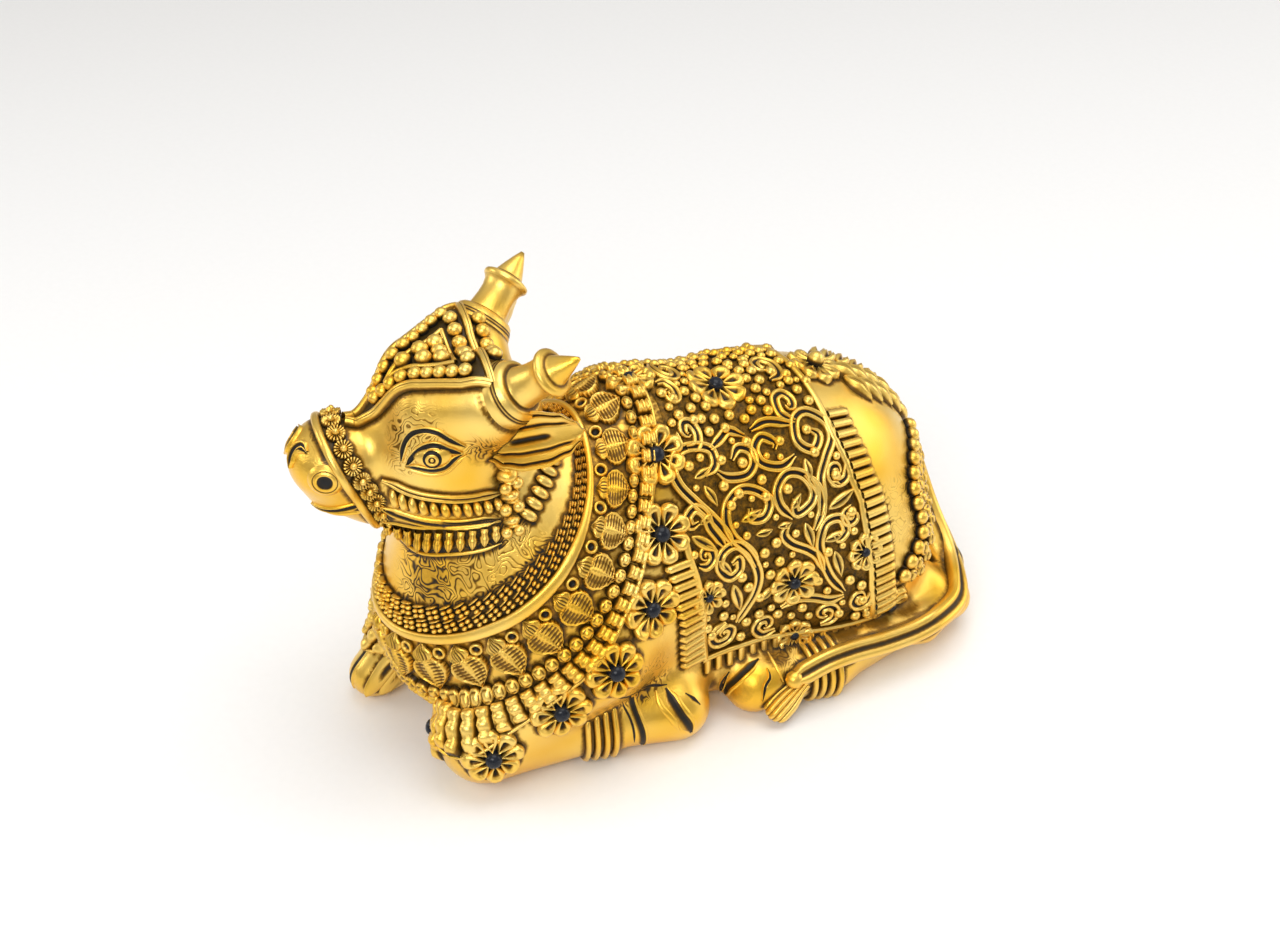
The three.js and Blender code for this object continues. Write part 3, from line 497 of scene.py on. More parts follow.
def land(starts, ways, form):
    """Where rays from inside the form leave it, with the outward direction there."""
    ways = unit(ways)
    starts = np.broadcast_to(np.asarray(starts, float), ways.shape)
    reach = np.full(len(ways), FIRST_REACH)
    for _ in range(LANDING_STEPS):
        reach -= LANDING_SHARE * form(starts + reach[:, None] * ways)
    points = starts + reach[:, None] * ways
    return points, slopes(points, form)


def settle(points, outs, form, above=8.0, below=4.0):
    """Where rays from above the form, back along their outward direction, first touch it."""
    height = np.full(len(points), float(above))
    for _ in range(LANDING_STEPS // 2):
        height -= SETTLING_SHARE * form(points + height[:, None] * outs)
        height = np.maximum(height, -below)
    return points + height[:, None] * outs


def frames_at(outs, alongs):
    """Rows of across, along and out at each place, with along laid into the surface."""
    alongs = np.broadcast_to(np.asarray(alongs, float), outs.shape)
    across = unit(np.cross(alongs, outs))
    return np.stack([across, np.cross(outs, across), outs], 1)


CLOTH_AXIS_HEIGHT = 50.0


def on_cloth(y, angle):
    """A place on the trunk at y, at an angle in degrees from the top towards the left side."""
    y, angle = np.broadcast_arrays(np.asarray(y, float), np.radians(angle))
    ways = np.stack([np.sin(angle), 0 * angle, np.cos(angle)], -1)
    starts = np.stack([0 * y, y, np.full(y.shape, CLOTH_AXIS_HEIGHT)], -1)
    return land(starts, ways, trunk)


NECK_MIDDLE = np.array([0.0, -46.0, 58.0])
NECK_AXIS = np.array([0, -0.756, 0.655])
NAPE_WAY = np.array([0, 0.655, 0.756])


def on_neck(turn, slant):
    """A place round the neck: a turn from the nape and a slant from the neck's axis, in degrees."""
    turn, slant = np.broadcast_arrays(np.radians(turn), np.radians(slant))
    ways = (np.cos(slant)[:, None] * NECK_AXIS
            + (np.sin(slant) * np.cos(turn))[:, None] * NAPE_WAY
            + (np.sin(slant) * np.sin(turn))[:, None] * (1, 0, 0))
    return land(NECK_MIDDLE, ways, trunk_and_legs)


def on_face(start, way):
    """A place on the head, by rays given in the head's own frame."""
    start, way = np.broadcast_arrays(np.asarray(start, float), np.asarray(way, float))
    return land(on_head(start), way @ HEAD_AXES, head)


def smooth_between(stops, places):
    """A value between stops of place and value, eased at each stop."""
    stops = np.asarray(stops, float)
    places = np.clip(places, stops[0, 0], stops[-1, 0])
    i = np.clip(np.searchsorted(stops[:, 0], places) - 1, 0, len(stops) - 2)
    share = (places - stops[i, 0]) / (stops[i + 1, 0] - stops[i, 0])
    return stops[i, 1] + (stops[i + 1, 1] - stops[i, 1]) * share * share * (3 - 2 * share)

# %% [markdown]
# ## Carving a sheet, and laying many copies
# A carved sheet is a grid of points whose height follows a rule, such as a petal's rim and slot.
# Copies are then laid on the body. A small one keeps its flat foot, and a larger one is draped: each
# of its points is brought down on the skin first and then raised by its own height, so that a wide
# flower bends with the barrel instead of standing off it at the edges.

# %% Carved sheets
EDGE = 0.999


def carved(shape, rows, columns):
    """A pattern from shape(u, v): u runs from 0 to 1 along, and v from -1 to 1 across."""
    u = (1 - np.cos(np.linspace(0, math.pi, rows))) / 2
    v = np.sin(np.linspace(-math.pi / 2, math.pi / 2, columns))
    u, v = [line.ravel() for line in np.meshgrid(u, v, indexing="ij")]
    across, along, height, tarnish = np.broadcast_arrays(*shape(u, v))
    return np.stack([across, along, height], -1), [sheet_faces(rows, columns)], np.clip(tarnish, 0, 1)


def ring_of(pattern, count, inner, length, width):
    """A pattern laid round a middle, with its own along pointing outwards from the inner radius."""
    points, faces, tarnish = pattern
    turns = np.arange(count) * 2 * math.pi / count
    local = points * (width, length, 1) + (0, inner, 0)
    across = np.stack([np.cos(turns), np.sin(turns), 0 * turns], -1)
    along = np.stack([-np.sin(turns), np.cos(turns), 0 * turns], -1)
    placed = (local[None, :, :1] * across[:, None] + local[None, :, 1:2] * along[:, None]
              + local[None, :, 2:] * (0, 0, 1))
    starts = np.arange(count)[:, None, None] * len(points)
    grown = [(face[None] + starts).reshape(-1, face.shape[1]) for face in faces]
    return placed.reshape(-1, 3), grown, np.tile(tarnish, count)


def past_edge(share):
    """Whether a place of a sheet is on its very edge, which goes under the skin."""
    return np.abs(share) > EDGE


def step_up(value, low, high):
    """A smooth rise from 0 to 1 as a value goes from low to high."""
    share = np.clip((value - low) / (high - low), 0, 1)
    return share * share * (3 - 2 * share)

# %% Even rows, ranks between two edges, and bands
ROW_STEPS, CURVE_STEPS = 240, 12


def row_of(place, low, high, pitch, inset=0.5):
    """Even steps along a row, where place(t) gives points and outs: the values of t."""
    t = np.linspace(low, high, ROW_STEPS)
    points, _ = place(t)
    reach = np.concatenate([[0], np.cumsum(np.linalg.norm(np.diff(points, axis=0), axis=1))])
    count = max(round(reach[-1] / pitch), 1)
    return np.interp((np.arange(count) + inset) * reach[-1] / count, reach, t)


def lay_rank(relief, pattern, inner, outer, t, width, height, form=None):
    """Copies that reach from an inner to an outer edge, at each value of t along them."""
    starts, outs = inner(t)
    ends, _ = outer(t)
    lengths = np.linalg.norm(ends - starts, axis=1)
    sizes = np.stack(np.broadcast_arrays(width, lengths, height), -1)
    relief.add_copies(pattern, starts, frames_at(outs, ends - starts), sizes, form)


def lay_band(relief, points, outs, profile, swell=1.0, closed=False):
    """A band along a line on the skin: the profile's rows are offset, height and tarnish."""
    profile = np.asarray(profile, float)
    if closed:
        ahead = np.roll(points, -1, 0) - np.roll(points, 1, 0)
    else:
        ahead = np.gradient(points, axis=0)
    frames = frames_at(outs, ahead)
    swell = np.broadcast_to(swell, len(points))[:, None, None]
    placed = (points[:, None] + frames[:, None, 0] * profile[:, :1] * swell
              + frames[:, None, 2] * profile[:, 1:2])
    faces = sheet_faces(len(points) + closed, len(profile)) % (len(points) * len(profile))
    relief.add(placed.reshape(-1, 3), [faces], np.tile(profile[:, 2], len(points)))


def curve_through(stops, pitch):
    """Even places on a smooth curve through the stops."""
    stops = np.asarray(stops, float)
    padded = np.vstack([2 * stops[0] - stops[1], stops, 2 * stops[-1] - stops[-2]])
    t = np.linspace(0, 1, CURVE_STEPS, endpoint=False)[:, None]
    stretches = []
    for a, b, c, d in zip(padded, padded[1:], padded[2:], padded[3:]):
        bend = 2 * b + (c - a) * t + (2 * a - 5 * b + 4 * c - d) * t ** 2
        stretches.append((bend + (3 * b - a - 3 * c + d) * t ** 3) / 2)
    line = np.vstack([*stretches, stops[-1:]])
    reach = np.concatenate([[0], np.cumsum(np.linalg.norm(np.diff(line, axis=0), axis=1))])
    places = np.linspace(0, reach[-1], max(round(reach[-1] / pitch), 2) + 1)
    return np.stack([np.interp(places, reach, column) for column in line.T], -1)

# %% [markdown]
# ## Shared motifs
# The same few motifs come back all over the casting: a petal with a dark slot, a flower of eight of
# them round a domed stone, a lobed cushion, a grooved leaf and a rounded tongue. Each is carved once
# here, at unit size, and scaled where it is laid. In every carved motif u runs along it from 0 to 1
# and v across it from -1 to 1. So the numbers in it are shares: where along or across something
# starts and ends, and how much of the width, the height or the tarnish it takes.

# %% Petals, leaves, cushions and tongues
def dark_edge(v, start, darkness, end=1.0):
    """Tarnish that gathers towards both edges of a sheet."""
    return darkness * step_up(np.abs(v), start, end)


def petal(u, v):
    """A petal with a dark slot down its middle."""
    half = 0.5 * np.sin(math.pi * u ** 1.7) ** 0.6
    slot = (1 - step_up(np.abs(v), 0.16, 0.38)) * step_up(u, 0.04, 0.12) * (1 - step_up(u, 0.54, 0.68))
    height = (0.6 + 0.5 * u) * (1 - np.abs(v) ** 4) - 0.8 * slot - 0.3 * past_edge(v)
    height = height * (1 - step_up(u, 0.9, 1.0) * 0.8) - 0.25 * past_edge(u)
    return half * v, u, height, np.maximum(1.1 * slot, dark_edge(v, 0.78, 0.8))


def grooved_leaf(u, v):
    """A pointed leaf with a groove for its midrib."""
    half = 0.5 * np.sin(math.pi * u ** 0.8) ** 0.9
    slot = np.exp(-(v / 0.26) ** 2) * step_up(u, 0.08, 0.2) * (1 - step_up(u, 0.78, 0.92))
    height = (1 - np.abs(v) ** 4) * (0.35 + 0.65 * np.sin(math.pi * u)) - 0.6 * slot
    height -= 0.3 * past_edge(v)
    return half * v, u, height, np.maximum(slot, dark_edge(v, 0.7, 0.8))


def lobed_cushion(u, v):
    """Three long lobes side by side, with a dark line between them."""
    lobe = np.abs(np.sin(3 * math.pi * u)) ** 0.6
    half = 0.5 * (0.8 + 0.2 * lobe)
    height = (0.45 + 0.55 * lobe) * (1 - np.abs(v) ** 5) ** 0.7
    low = 0.3 * past_edge(np.maximum(np.abs(v), np.abs(2 * u - 1)))
    return half * v, u, height - low, np.maximum(1 - 1.6 * lobe, dark_edge(v, 0.8, 0.9))


def seed(u, v):
    """An oval with a smaller oval drawn on it."""
    along = 2 * u - 1
    reach = np.sqrt(along ** 2 + v ** 2 * (1 - along ** 2))
    line = np.exp(-((reach - 0.6) / 0.11) ** 2)
    height = (1 - reach ** 4) ** 0.5 - 0.22 * line - 0.3 * past_edge(reach)
    half = 0.5 * np.sqrt(1 - along ** 2)
    return half * v, u, height, np.maximum(0.7 * line, dark_edge(reach, 0.86, 0.9))


def tongue(u, v):
    """A rounded bar whose outer end is round."""
    half = 0.5 * np.sqrt(np.clip(1 - np.maximum((u - 0.86) / 0.14, 0) ** 2, 0, 1))
    height = (1 - np.abs(v) ** 5) * (1 - 0.6 * step_up(u, 0.86, 1.0)) - 0.3 * past_edge(v)
    return half * v, u, height, dark_edge(v, 0.7, 0.95, end=0.95)


PETAL = carved(petal, 14, 13)
LEAF = carved(grooved_leaf, 12, 9)
CUSHION, SEED = carved(lobed_cushion, 17, 9), carved(seed, 11, 11)
TONGUE = carved(tongue, 9, 7)
FLOWER = ring_of(PETAL, 8, 0.24, 0.76, 0.68)
STONE = turned_pattern([(1.0, -0.4, 1), (1.0, 0.35, 0.9), (0.93, 0.68, 0.9), (0.72, 0.98, 0.9),
                        (0.4, 1.16, 0.9), (0.12, 1.22, 0.9)], 16)
DARK_RING = turned_pattern([(1.0, -0.5, 0.9), (1.0, 0.6, 0.3), (0.84, 0.95, 0.0), (0.62, 0.75, 0.2),
                            (0.5, 0.1, 0.95), (0.1, 0.0, 1.0)], 16)
print("flower:", len(FLOWER[0]), "points")

# %% [markdown]
# ## The finish
# Antiqued gilt is bright metal on every rubbed place and a brown-black patina in the recesses, with
# an amber stain between. One shared group mixes them by the value for patina and painted shade,
# broken up by noise so that no edge is even, so the same browns also serve as painted shade. Metal
# shows mostly what is round it, so its colour is kept warm.

# %% Sockets and nodes made short
def feed(tree, node, **inputs):
    """Sets or links a node's inputs, by name with _ for a space, or by number after a first _."""
    for name, value in inputs.items():
        socket = node.inputs[int(name[1:])] if name[0] == "_" else node.inputs[name.replace("_", " ")]
        if isinstance(value, bpy.types.NodeSocket):
            tree.links.new(value, socket)
        else:
            socket.default_value = value


def add_node(tree, kind, settings=None, **inputs):
    node = tree.nodes.new(kind)
    for name, value in (settings or {}).items():
        setattr(node, name, value)
    feed(tree, node, **inputs)
    return node


def maths(tree, operation, *values, clamp=False):
    inputs = {f"_{i}": value for i, value in enumerate(values)}
    settings = {"operation": operation, "use_clamp": clamp}
    return add_node(tree, "ShaderNodeMath", settings, **inputs).outputs[0]


def ramp(tree, value, low, high, start=0.0, end=1.0):
    """A value that goes from start to end as another goes from low to high."""
    return add_node(tree, "ShaderNodeMapRange", _0=value, _1=low, _2=high, _3=start, _4=end).outputs[0]


def mixed(tree, share, first, second):
    """A colour that goes from a first to a second as the share goes from 0 to 1."""
    return add_node(tree, "ShaderNodeMix", {"data_type": "RGBA"}, _0=share, _6=first, _7=second).outputs[2]


def noise(tree, scale, **inputs):
    where = add_node(tree, "ShaderNodeTexCoord").outputs["Object"]
    return add_node(tree, "ShaderNodeTexNoise", Vector=where, Scale=scale, **inputs).outputs["Fac"]


def new_material(name):
    """A material, its tree of nodes and its shader."""
    material = bpy.data.materials.new(name)
    material.use_nodes = True
    return material, material.node_tree, material.node_tree.nodes["Principled BSDF"]


def shared_group(name, inputs, outputs):
    tree = bpy.data.node_groups.new(name, "ShaderNodeTree")
    for label, kind in inputs:
        tree.interface.new_socket(label, in_out="INPUT", socket_type=kind)
    for label, kind in outputs:
        tree.interface.new_socket(label, in_out="OUTPUT", socket_type=kind)
    return tree, tree.nodes.new("NodeGroupInput"), tree.nodes.new("NodeGroupOutput")

# %% [markdown]
# ## Antique gilt
# The group puts out a colour, a roughness, how metallic the place is and a fine grain for the bump.
# Noises work at four scales: broad drifts from pale to deep gold, whorls of engraved hair where the
# mask asks for them, blotches that break the patina's edge, and the fine grain of the cast skin.

# %% The antique gilt group
FLOAT, COLOUR = "NodeSocketFloat", "NodeSocketColor"
gilt, gilt_in, gilt_out = shared_group(
    "antique gilt",
    [("Tarnish", FLOAT), ("Hair", FLOAT), ("Breakup", FLOAT), ("Grain", FLOAT)],
    [("Colour", COLOUR), ("Roughness", FLOAT), ("Metallic", FLOAT), ("Height", FLOAT)])
PALE_GOLD, DEEP_GOLD = (0.94, 0.65, 0.16, 1), (0.88, 0.50, 0.035, 1)
AMBER, PATINA_AND_SHADE_BROWN, BLACKENED = (0.32, 0.15, 0.008, 1), (0.055, 0.031, 0.003, 1), (0.012, 0.011, 0.010, 1)
DRIFT_SCALE, WHORL_SCALE, BLOTCH_SCALE, GRAIN_SCALE = 32.0, 130.0, 560.0, 2600.0
DRIFT_RANGE, STRANDS, STRAND_RANGE = (0.35, 0.65), 13.0, (0.22, 0.46)
HAIR_DARKNESS, HAIR_HEIGHT = 0.6, -1.2
# The value for patina and painted shade at which each darker colour starts and is full
STAIN_AND_SHADE_COLOURS = [(0.22, 0.55, AMBER), (0.45, 0.78, PATINA_AND_SHADE_BROWN), (0.78, 1.0, BLACKENED)]
ROUGHNESSES, METALNESS_FROM, METALNESSES = (0.31, 0.62), 0.3, (0.85, 0.4)

blotch = noise(gilt, BLOTCH_SCALE, Detail=5.0, Roughness=0.68)
uneven = maths(gilt, "MULTIPLY", maths(gilt, "SUBTRACT", blotch, 0.5), gilt_in.outputs["Breakup"])
whorl = noise(gilt, WHORL_SCALE, Detail=1.5, Distortion=0.4)
strands = maths(gilt, "PINGPONG", maths(gilt, "MULTIPLY", whorl, STRANDS), 0.5)
hair = maths(gilt, "MULTIPLY", ramp(gilt, strands, *STRAND_RANGE), gilt_in.outputs["Hair"])
broken = maths(gilt, "MULTIPLY_ADD", hair, HAIR_DARKNESS, uneven)
tarnish = maths(gilt, "ADD", gilt_in.outputs["Tarnish"], broken, clamp=True)
drift = ramp(gilt, noise(gilt, DRIFT_SCALE, Detail=2.0), *DRIFT_RANGE)
colour = mixed(gilt, drift, PALE_GOLD, DEEP_GOLD)
for low, high, darker in STAIN_AND_SHADE_COLOURS:
    colour = mixed(gilt, ramp(gilt, tarnish, low, high), colour, darker)
grain = maths(gilt, "MULTIPLY", noise(gilt, GRAIN_SCALE, Detail=2.0), gilt_in.outputs["Grain"])
height = maths(gilt, "MULTIPLY_ADD", hair, HAIR_HEIGHT, maths(gilt, "ADD", grain, blotch))
feed(gilt, gilt_out, Colour=colour, Height=height,
     Roughness=ramp(gilt, tarnish, 0.0, 1.0, *ROUGHNESSES),
     Metallic=ramp(gilt, tarnish, METALNESS_FROM, 1.0, *METALNESSES))
BUMP_HEIGHT, COAT_ROUGHNESS, GILT_SPECULAR = 0.0002, 0.3, 0.2


def gilt_material(name, breakup, grain_share, bump, coat):
    material, tree, shader = new_material(name)
    kept = add_node(tree, "ShaderNodeAttribute", {"attribute_name": "tarnish"}).outputs["Fac"]
    engraved = add_node(tree, "ShaderNodeAttribute", {"attribute_name": "hair"}).outputs["Fac"]
    finish = add_node(tree, "ShaderNodeGroup", {"node_tree": gilt}, Tarnish=kept,
                      Hair=engraved, Breakup=breakup, Grain=grain_share).outputs
    raised = add_node(tree, "ShaderNodeBump", Height=finish["Height"], Strength=bump,
                      Distance=BUMP_HEIGHT).outputs[0]
    feed(tree, shader, Base_Color=finish["Colour"], Roughness=finish["Roughness"],
         Metallic=finish["Metallic"], Normal=raised, Coat_Weight=coat,
         Coat_Roughness=COAT_ROUGHNESS, Specular_IOR_Level=GILT_SPECULAR)
    return material


polished = gilt_material("polished gilt", breakup=0.30, grain_share=0.8, bump=0.35, coat=0.25)
dark_ground = gilt_material("stained ground", breakup=0.9, grain_share=1.6, bump=0.8, coat=0.1)

# %% [markdown]
# ## Black stones
# The flower centres are domed and blue-black, like glass or enamel, with a soft and uneven gloss.

# %% The stone material
STONE_CLOUDS, STONE_SPECULAR = 700.0, 0.25
STONE_DARK, STONE_LIGHT = (0.005, 0.006, 0.009, 1), (0.018, 0.021, 0.03, 1)
STONE_ROUGHNESSES = (0.12, 0.35)


def stone_material():
    material, tree, shader = new_material("black stone")
    cloud = noise(tree, STONE_CLOUDS, Detail=4.0)
    feed(tree, shader, Base_Color=mixed(tree, cloud, STONE_DARK, STONE_LIGHT),
         Roughness=ramp(tree, cloud, 0.0, 1.0, *STONE_ROUGHNESSES), Specular_IOR_Level=STONE_SPECULAR)
    return material


black_stone = stone_material()
print("materials:", [material.name for material in bpy.data.materials])

# %% [markdown]
# ## The saddle cloth
# The cloth is a low step in the casting with a rim round it. On it lie grooved scrolls, pearls
# between them, leaves and flowers, and a fringe of tongues stands outside the rim. The cloth is
# measured by y along the back and by the angle down from the spine, so its edges are two curves of y
# against angle, and every motif is a place on that map.

# %% The cloth's ground and rims
CLOTH_FRONT = [(0, -9), (9, -10), (21, -12), (39, -11), (53, -17), (76, -14), (90, -12), (121, -9)]
CLOTH_REAR = [(0, 51), (30, 51.5), (49, 54), (62, 56.5), (78, 57), (96, 58), (121, 61)]
CLOTH_DROP, FRONT_RIM_TOP = 117, 53
GROUND_HEIGHT, GROUND_TARNISH = 0.9, 0.68
RIM_PROFILE = symmetric((-1.5, -0.8, 0.9), (-1.35, 1.6, 0.6), (-1.0, 2.35, 0.05), (0, 2.55, 0.0))
FRONT_RIM_INSET, REAR_RIM_INSET, HEM_SWELL = 1.2, 0.6, 0.75
RIM_PLACES, REAR_RIM_PLACES = 70, 220


def front_edge(angle):
    return smooth_between(CLOTH_FRONT, np.abs(angle))


def rear_edge(angle):
    return smooth_between(CLOTH_REAR, np.abs(angle))


def cloth_ground():
    rows, columns = 120, 46
    angle = np.repeat(np.linspace(-CLOTH_DROP, CLOTH_DROP, rows), columns)
    share = np.tile(np.linspace(0, 1, columns), rows)
    points, outs = on_cloth(front_edge(angle) * (1 - share) + rear_edge(angle) * share, -angle)
    is_edge = (share == 0) | (share == 1) | (np.abs(angle) == CLOTH_DROP)
    height = np.where(is_edge, -0.6, GROUND_HEIGHT)
    ground = Relief()
    ground.add(points + outs * height[:, None], [sheet_faces(rows, columns)], GROUND_TARNISH)
    ground.piece("cloth_ground", dark_ground)


def cloth_rims():
    rims = Relief()
    for side in (1, -1):
        down = np.linspace(FRONT_RIM_TOP, CLOTH_DROP, RIM_PLACES)
        lay_band(rims, *on_cloth(front_edge(down) + FRONT_RIM_INSET, side * down), RIM_PROFILE)
        along = np.linspace(front_edge(CLOTH_DROP), rear_edge(CLOTH_DROP), RIM_PLACES)
        lay_band(rims, *on_cloth(along, side * CLOTH_DROP), RIM_PROFILE, swell=HEM_SWELL)
    across = np.linspace(-CLOTH_DROP, CLOTH_DROP, REAR_RIM_PLACES)
    lay_band(rims, *on_cloth(rear_edge(across) - REAR_RIM_INSET, across), RIM_PROFILE)
    rims.piece("cloth_rims", polished)


cloth_ground()
cloth_rims()

# %% [markdown]
# ### Fringes
# Outside the rim is a fringe of cast tongues, like short tassels. Each reaches from the rim to an
# outer edge, so a rank of copies between two edges lays all of them at their true lean.

# %% Fringe tongues
TONGUE_ROOT = 0.6


def beside_rear(out, side):
    return lambda angle: on_cloth(rear_edge(angle) + out, side * angle)


def beside_front(out, side):
    return lambda angle: on_cloth(front_edge(angle) + out, side * angle)


def beside_hem(out, side):
    return lambda y: on_cloth(y, side * (CLOTH_DROP + out))


# Each edge of the cloth with its fringe: how far it reaches out, the first and last place along
# the edge and the pitch of its tongues, and the width and height of each tongue
FRINGES = [(beside_rear, 11.0, 24, CLOTH_DROP, 3.9, 3.8, 3.0),
           (beside_front, -9.0, 58, CLOTH_DROP, 3.8, 3.7, 2.9),
           (beside_hem, 7.6, -9, 57, 4.6, 3.1, 2.4)]


def fringes():
    tongues = Relief()
    for side in (1, -1):
        for beside, reach, first, last, pitch, width, height in FRINGES:
            root, end = beside(TONGUE_ROOT, side), beside(reach, side)
            places = row_of(root, first, last, pitch)
            lay_rank(tongues, TONGUE, root, end, places, width, height, trunk)
    tongues.piece("cloth_fringes", polished)


fringes()

# %% [markdown]
# ### Scrolls
# Each scroll is one grooved band: a curl, then a stalk that runs on to the next. It is drawn by a
# few given stops of y and angle, with a smooth curve through them. The band's section has
# two ridges and a dark groove, and it thins at both ends as a rolled wax thread does.

# %% The scroll bands
SCROLL_PROFILE = symmetric((-2.1, 0.3, 0.9), (-2.0, 1.6, 0.4), (-1.75, 2.3, 0.0), (-1.2, 2.5, 0.0),
                           (-0.75, 2.1, 0.05), (-0.5, 1.4, 0.9), (0, 1.1, 1.0))
SCROLLS = [
    [(-3, 33), (2, 31), (2, 26), (-5, 24), (-11, 25), (-14, 29), (-13, 34), (-9, 40), (-4, 47),
     (0, 54), (2, 59)],
    [(-9.5, 47), (-12.5, 47.5), (-13, 44), (-9.5, 42), (-6.5, 45), (-5.5, 50), (-3.5, 54), (-1, 59)],
    [(9, 31), (13, 28), (17, 30), (17, 34), (13, 37), (6, 36), (2, 33)],
    [(42, 29), (45, 32), (41, 36), (36, 32), (38, 25), (44, 23), (50, 28), (50, 34), (45, 40),
     (41, 46), (40, 53), (38, 60)],
    [(26, 32), (27, 30), (23, 27), (19, 30), (20, 35), (27, 38), (33, 36)],
    [(11, 48), (11, 52), (16, 53), (19, 48), (15, 43), (9, 41), (3, 44), (1, 50), (3, 57), (9, 65),
     (11, 72)],
    [(1, 67), (4, 66), (4, 71), (0, 73), (-4, 67), (-2, 61), (4, 60), (9, 67), (12, 77), (11, 86),
     (8, 94), (5, 102)],
    [(29, 50), (29, 56), (35, 54), (37, 49), (34, 43), (28, 41), (23, 45), (23, 51), (27, 57)],
    [(35, 43), (39, 50), (39, 58), (35, 65)],
    [(43, 70), (45, 73), (48, 70), (46, 64), (40, 64), (37, 71), (38, 80), (41, 90), (46, 98)],
    [(25, 59), (23, 63), (26, 68), (32, 73), (36, 78), (38, 85)],
    [(2, 26), (7, 24), (12, 22), (17, 25)],
    [(20, 24), (27, 23), (36, 26)],
    [(23, 101), (29, 97.5), (35, 98.5), (41, 101), (46, 100)],
]


# On the cloth's side one degree of angle is about this many millimetres
DEGREE_ON_CLOTH = 0.87
CURL_EYE, CURL_STOPS = 0.12, 8
SCROLL_STEP, CURL_STEP = 0.8, 0.7


def curl(y, angle, radius, start, turns):
    """Stops of a spiral from its eye outwards, on the cloth's map."""
    share = np.linspace(CURL_EYE, 1, CURL_STOPS)
    turn = np.radians(start) + turns * 2 * math.pi * share
    reach = radius * share
    return np.stack([y + reach * np.cos(turn), angle + reach * np.sin(turn) / DEGREE_ON_CLOTH], -1)


# Each curl: y and angle of its middle, its radius, the angle it starts at and its turns
CURLS = [(-9, 60, 4.2, 40, 1.3), (38, 19, 5.5, 200, -1.3), (-4, 20, 4.5, 20, 1.3),
         (48, 46, 4.8, 90, -1.3), (51, 65, 3.8, 200, 1.2), (0, 107, 6.8, 90, 1.5),
         (17, 110, 5.2, 180, -1.4), (40, 108, 5.0, 0, 1.3), (53, 104, 4.6, 90, -1.3)]
SPINE_CURLS = [(39, 3, 6.0, 0, 1.3), (2, -2, 5.0, 120, 1.3), (-4, 8, 4.0, 300, -1.2)]


def cloth_curves(side):
    curves = [curve_through(stops, SCROLL_STEP) for stops in SCROLLS]
    curves += [curve_through(curl(*shape), CURL_STEP) for shape in CURLS]
    return [curve * (1, side) for curve in curves]


def tapering(count, blunt=0.45, reach=6):
    """A swell that thins towards both ends of a band."""
    from_end = np.minimum(np.arange(count), np.arange(count)[::-1]) / reach
    return blunt + (1 - blunt) * step_up(from_end, 0, 1)


def lay_scrolls():
    scrolls, courses = Relief(), []
    curves = cloth_curves(1) + cloth_curves(-1)
    curves += [curve_through(curl(*shape), CURL_STEP) for shape in SPINE_CURLS]
    for curve in curves:
        points, outs = on_cloth(curve[:, 0], curve[:, 1])
        lay_band(scrolls, points, outs, SCROLL_PROFILE, swell=tapering(len(points)))
        courses.append(points)
    scrolls.piece("cloth_scrolls", polished)
    return np.concatenate(courses)


scroll_courses = lay_scrolls()

# %% [markdown]
# ### Flowers, leaves and pearls on the cloth
# The flowers and leaves have places of their own. The pearls fill what is left, as the modeller
# filled it: the largest go in first wherever there is room, then smaller ones between them.

# %% Cloth flowers and leaves
# Each flower is y, angle and radius, and each leaf is y and angle of its root and of its tip
TOP_FLOWER, CLOTH_FLOWERS = (17, 6, 11.5), [(27, 88, 10), (-9, 79, 7), (55, 83, 7.5), (29, 118, 7.5)]
SPINE_FLOWER, SPINE_BEAD = (62, 2, 10.5), 3.3
CLOTH_LEAVES = [(-7, 33, 1, 31), (7, 52, 16, 50), (27, 54, 32, 49), (21, 59, 27, 59), (12, 59, 19, 59),
                (39, 72, 48, 70), (-9, 48, -3, 45), (37, 38, 36, 47), (-4, 36, -1, 44), (32, 61, 34, 73),
                (43, 78, 45, 91), (2, 78, 5, 94), (42, 59, 54, 54), (-13, 51, -4, 60), (-4, 64, 1, 72),
                (44, 49, 49, 52), (-10, 24, -8, 19), (19, 87, 12, 93)]
CLOTH_STONE, STONE_FLATNESS = 0.24, (1, 1, 0.9)
STONE_LIFT, STONE_SEAT = 0.2, 0.25
CLOTH_FLOWER_HEIGHT, SPINE_FLOWER_HEIGHT, CLOTH_LEAF_HEIGHT = 2.2, 2.6, 2.8
CLOTH_FLOWER_LIFT, SPINE_FLOWER_LIFT, SPINE_BEAD_LIFT, CLOTH_LEAF_LIFT = 0.7, 1.2, 1.6, 0.4
CLOTH_LEAF_WIDTH, CLOTH_LEAF_WIDENING = 1.6, 0.28


def lay_pearls(relief, points, outs, radii, rise=0.35):
    frames = frames_at(outs, (0.02, 1, 0.03))
    relief.add_copies(BEAD, points + outs * (rise * radii)[:, None], frames, radii[:, None] * (1, 1, 1))


def lay_flowers(relief, stones, points, outs, alongs, radii, height, stone, form):
    """Flowers on the form, with their stones gathered apart."""
    radii = np.broadcast_to(radii, len(points))
    frames = frames_at(outs, alongs)
    sizes = np.stack([radii, radii, np.full(len(points), height)], -1)
    relief.add_copies(FLOWER, points, frames, sizes, form)
    middles = points + outs * (STONE_LIFT + STONE_SEAT * height)
    stones.add_copies(STONE, middles, frames, (radii * stone)[:, None] * STONE_FLATNESS)


def on_ground(points):
    return trunk(points) - GROUND_HEIGHT


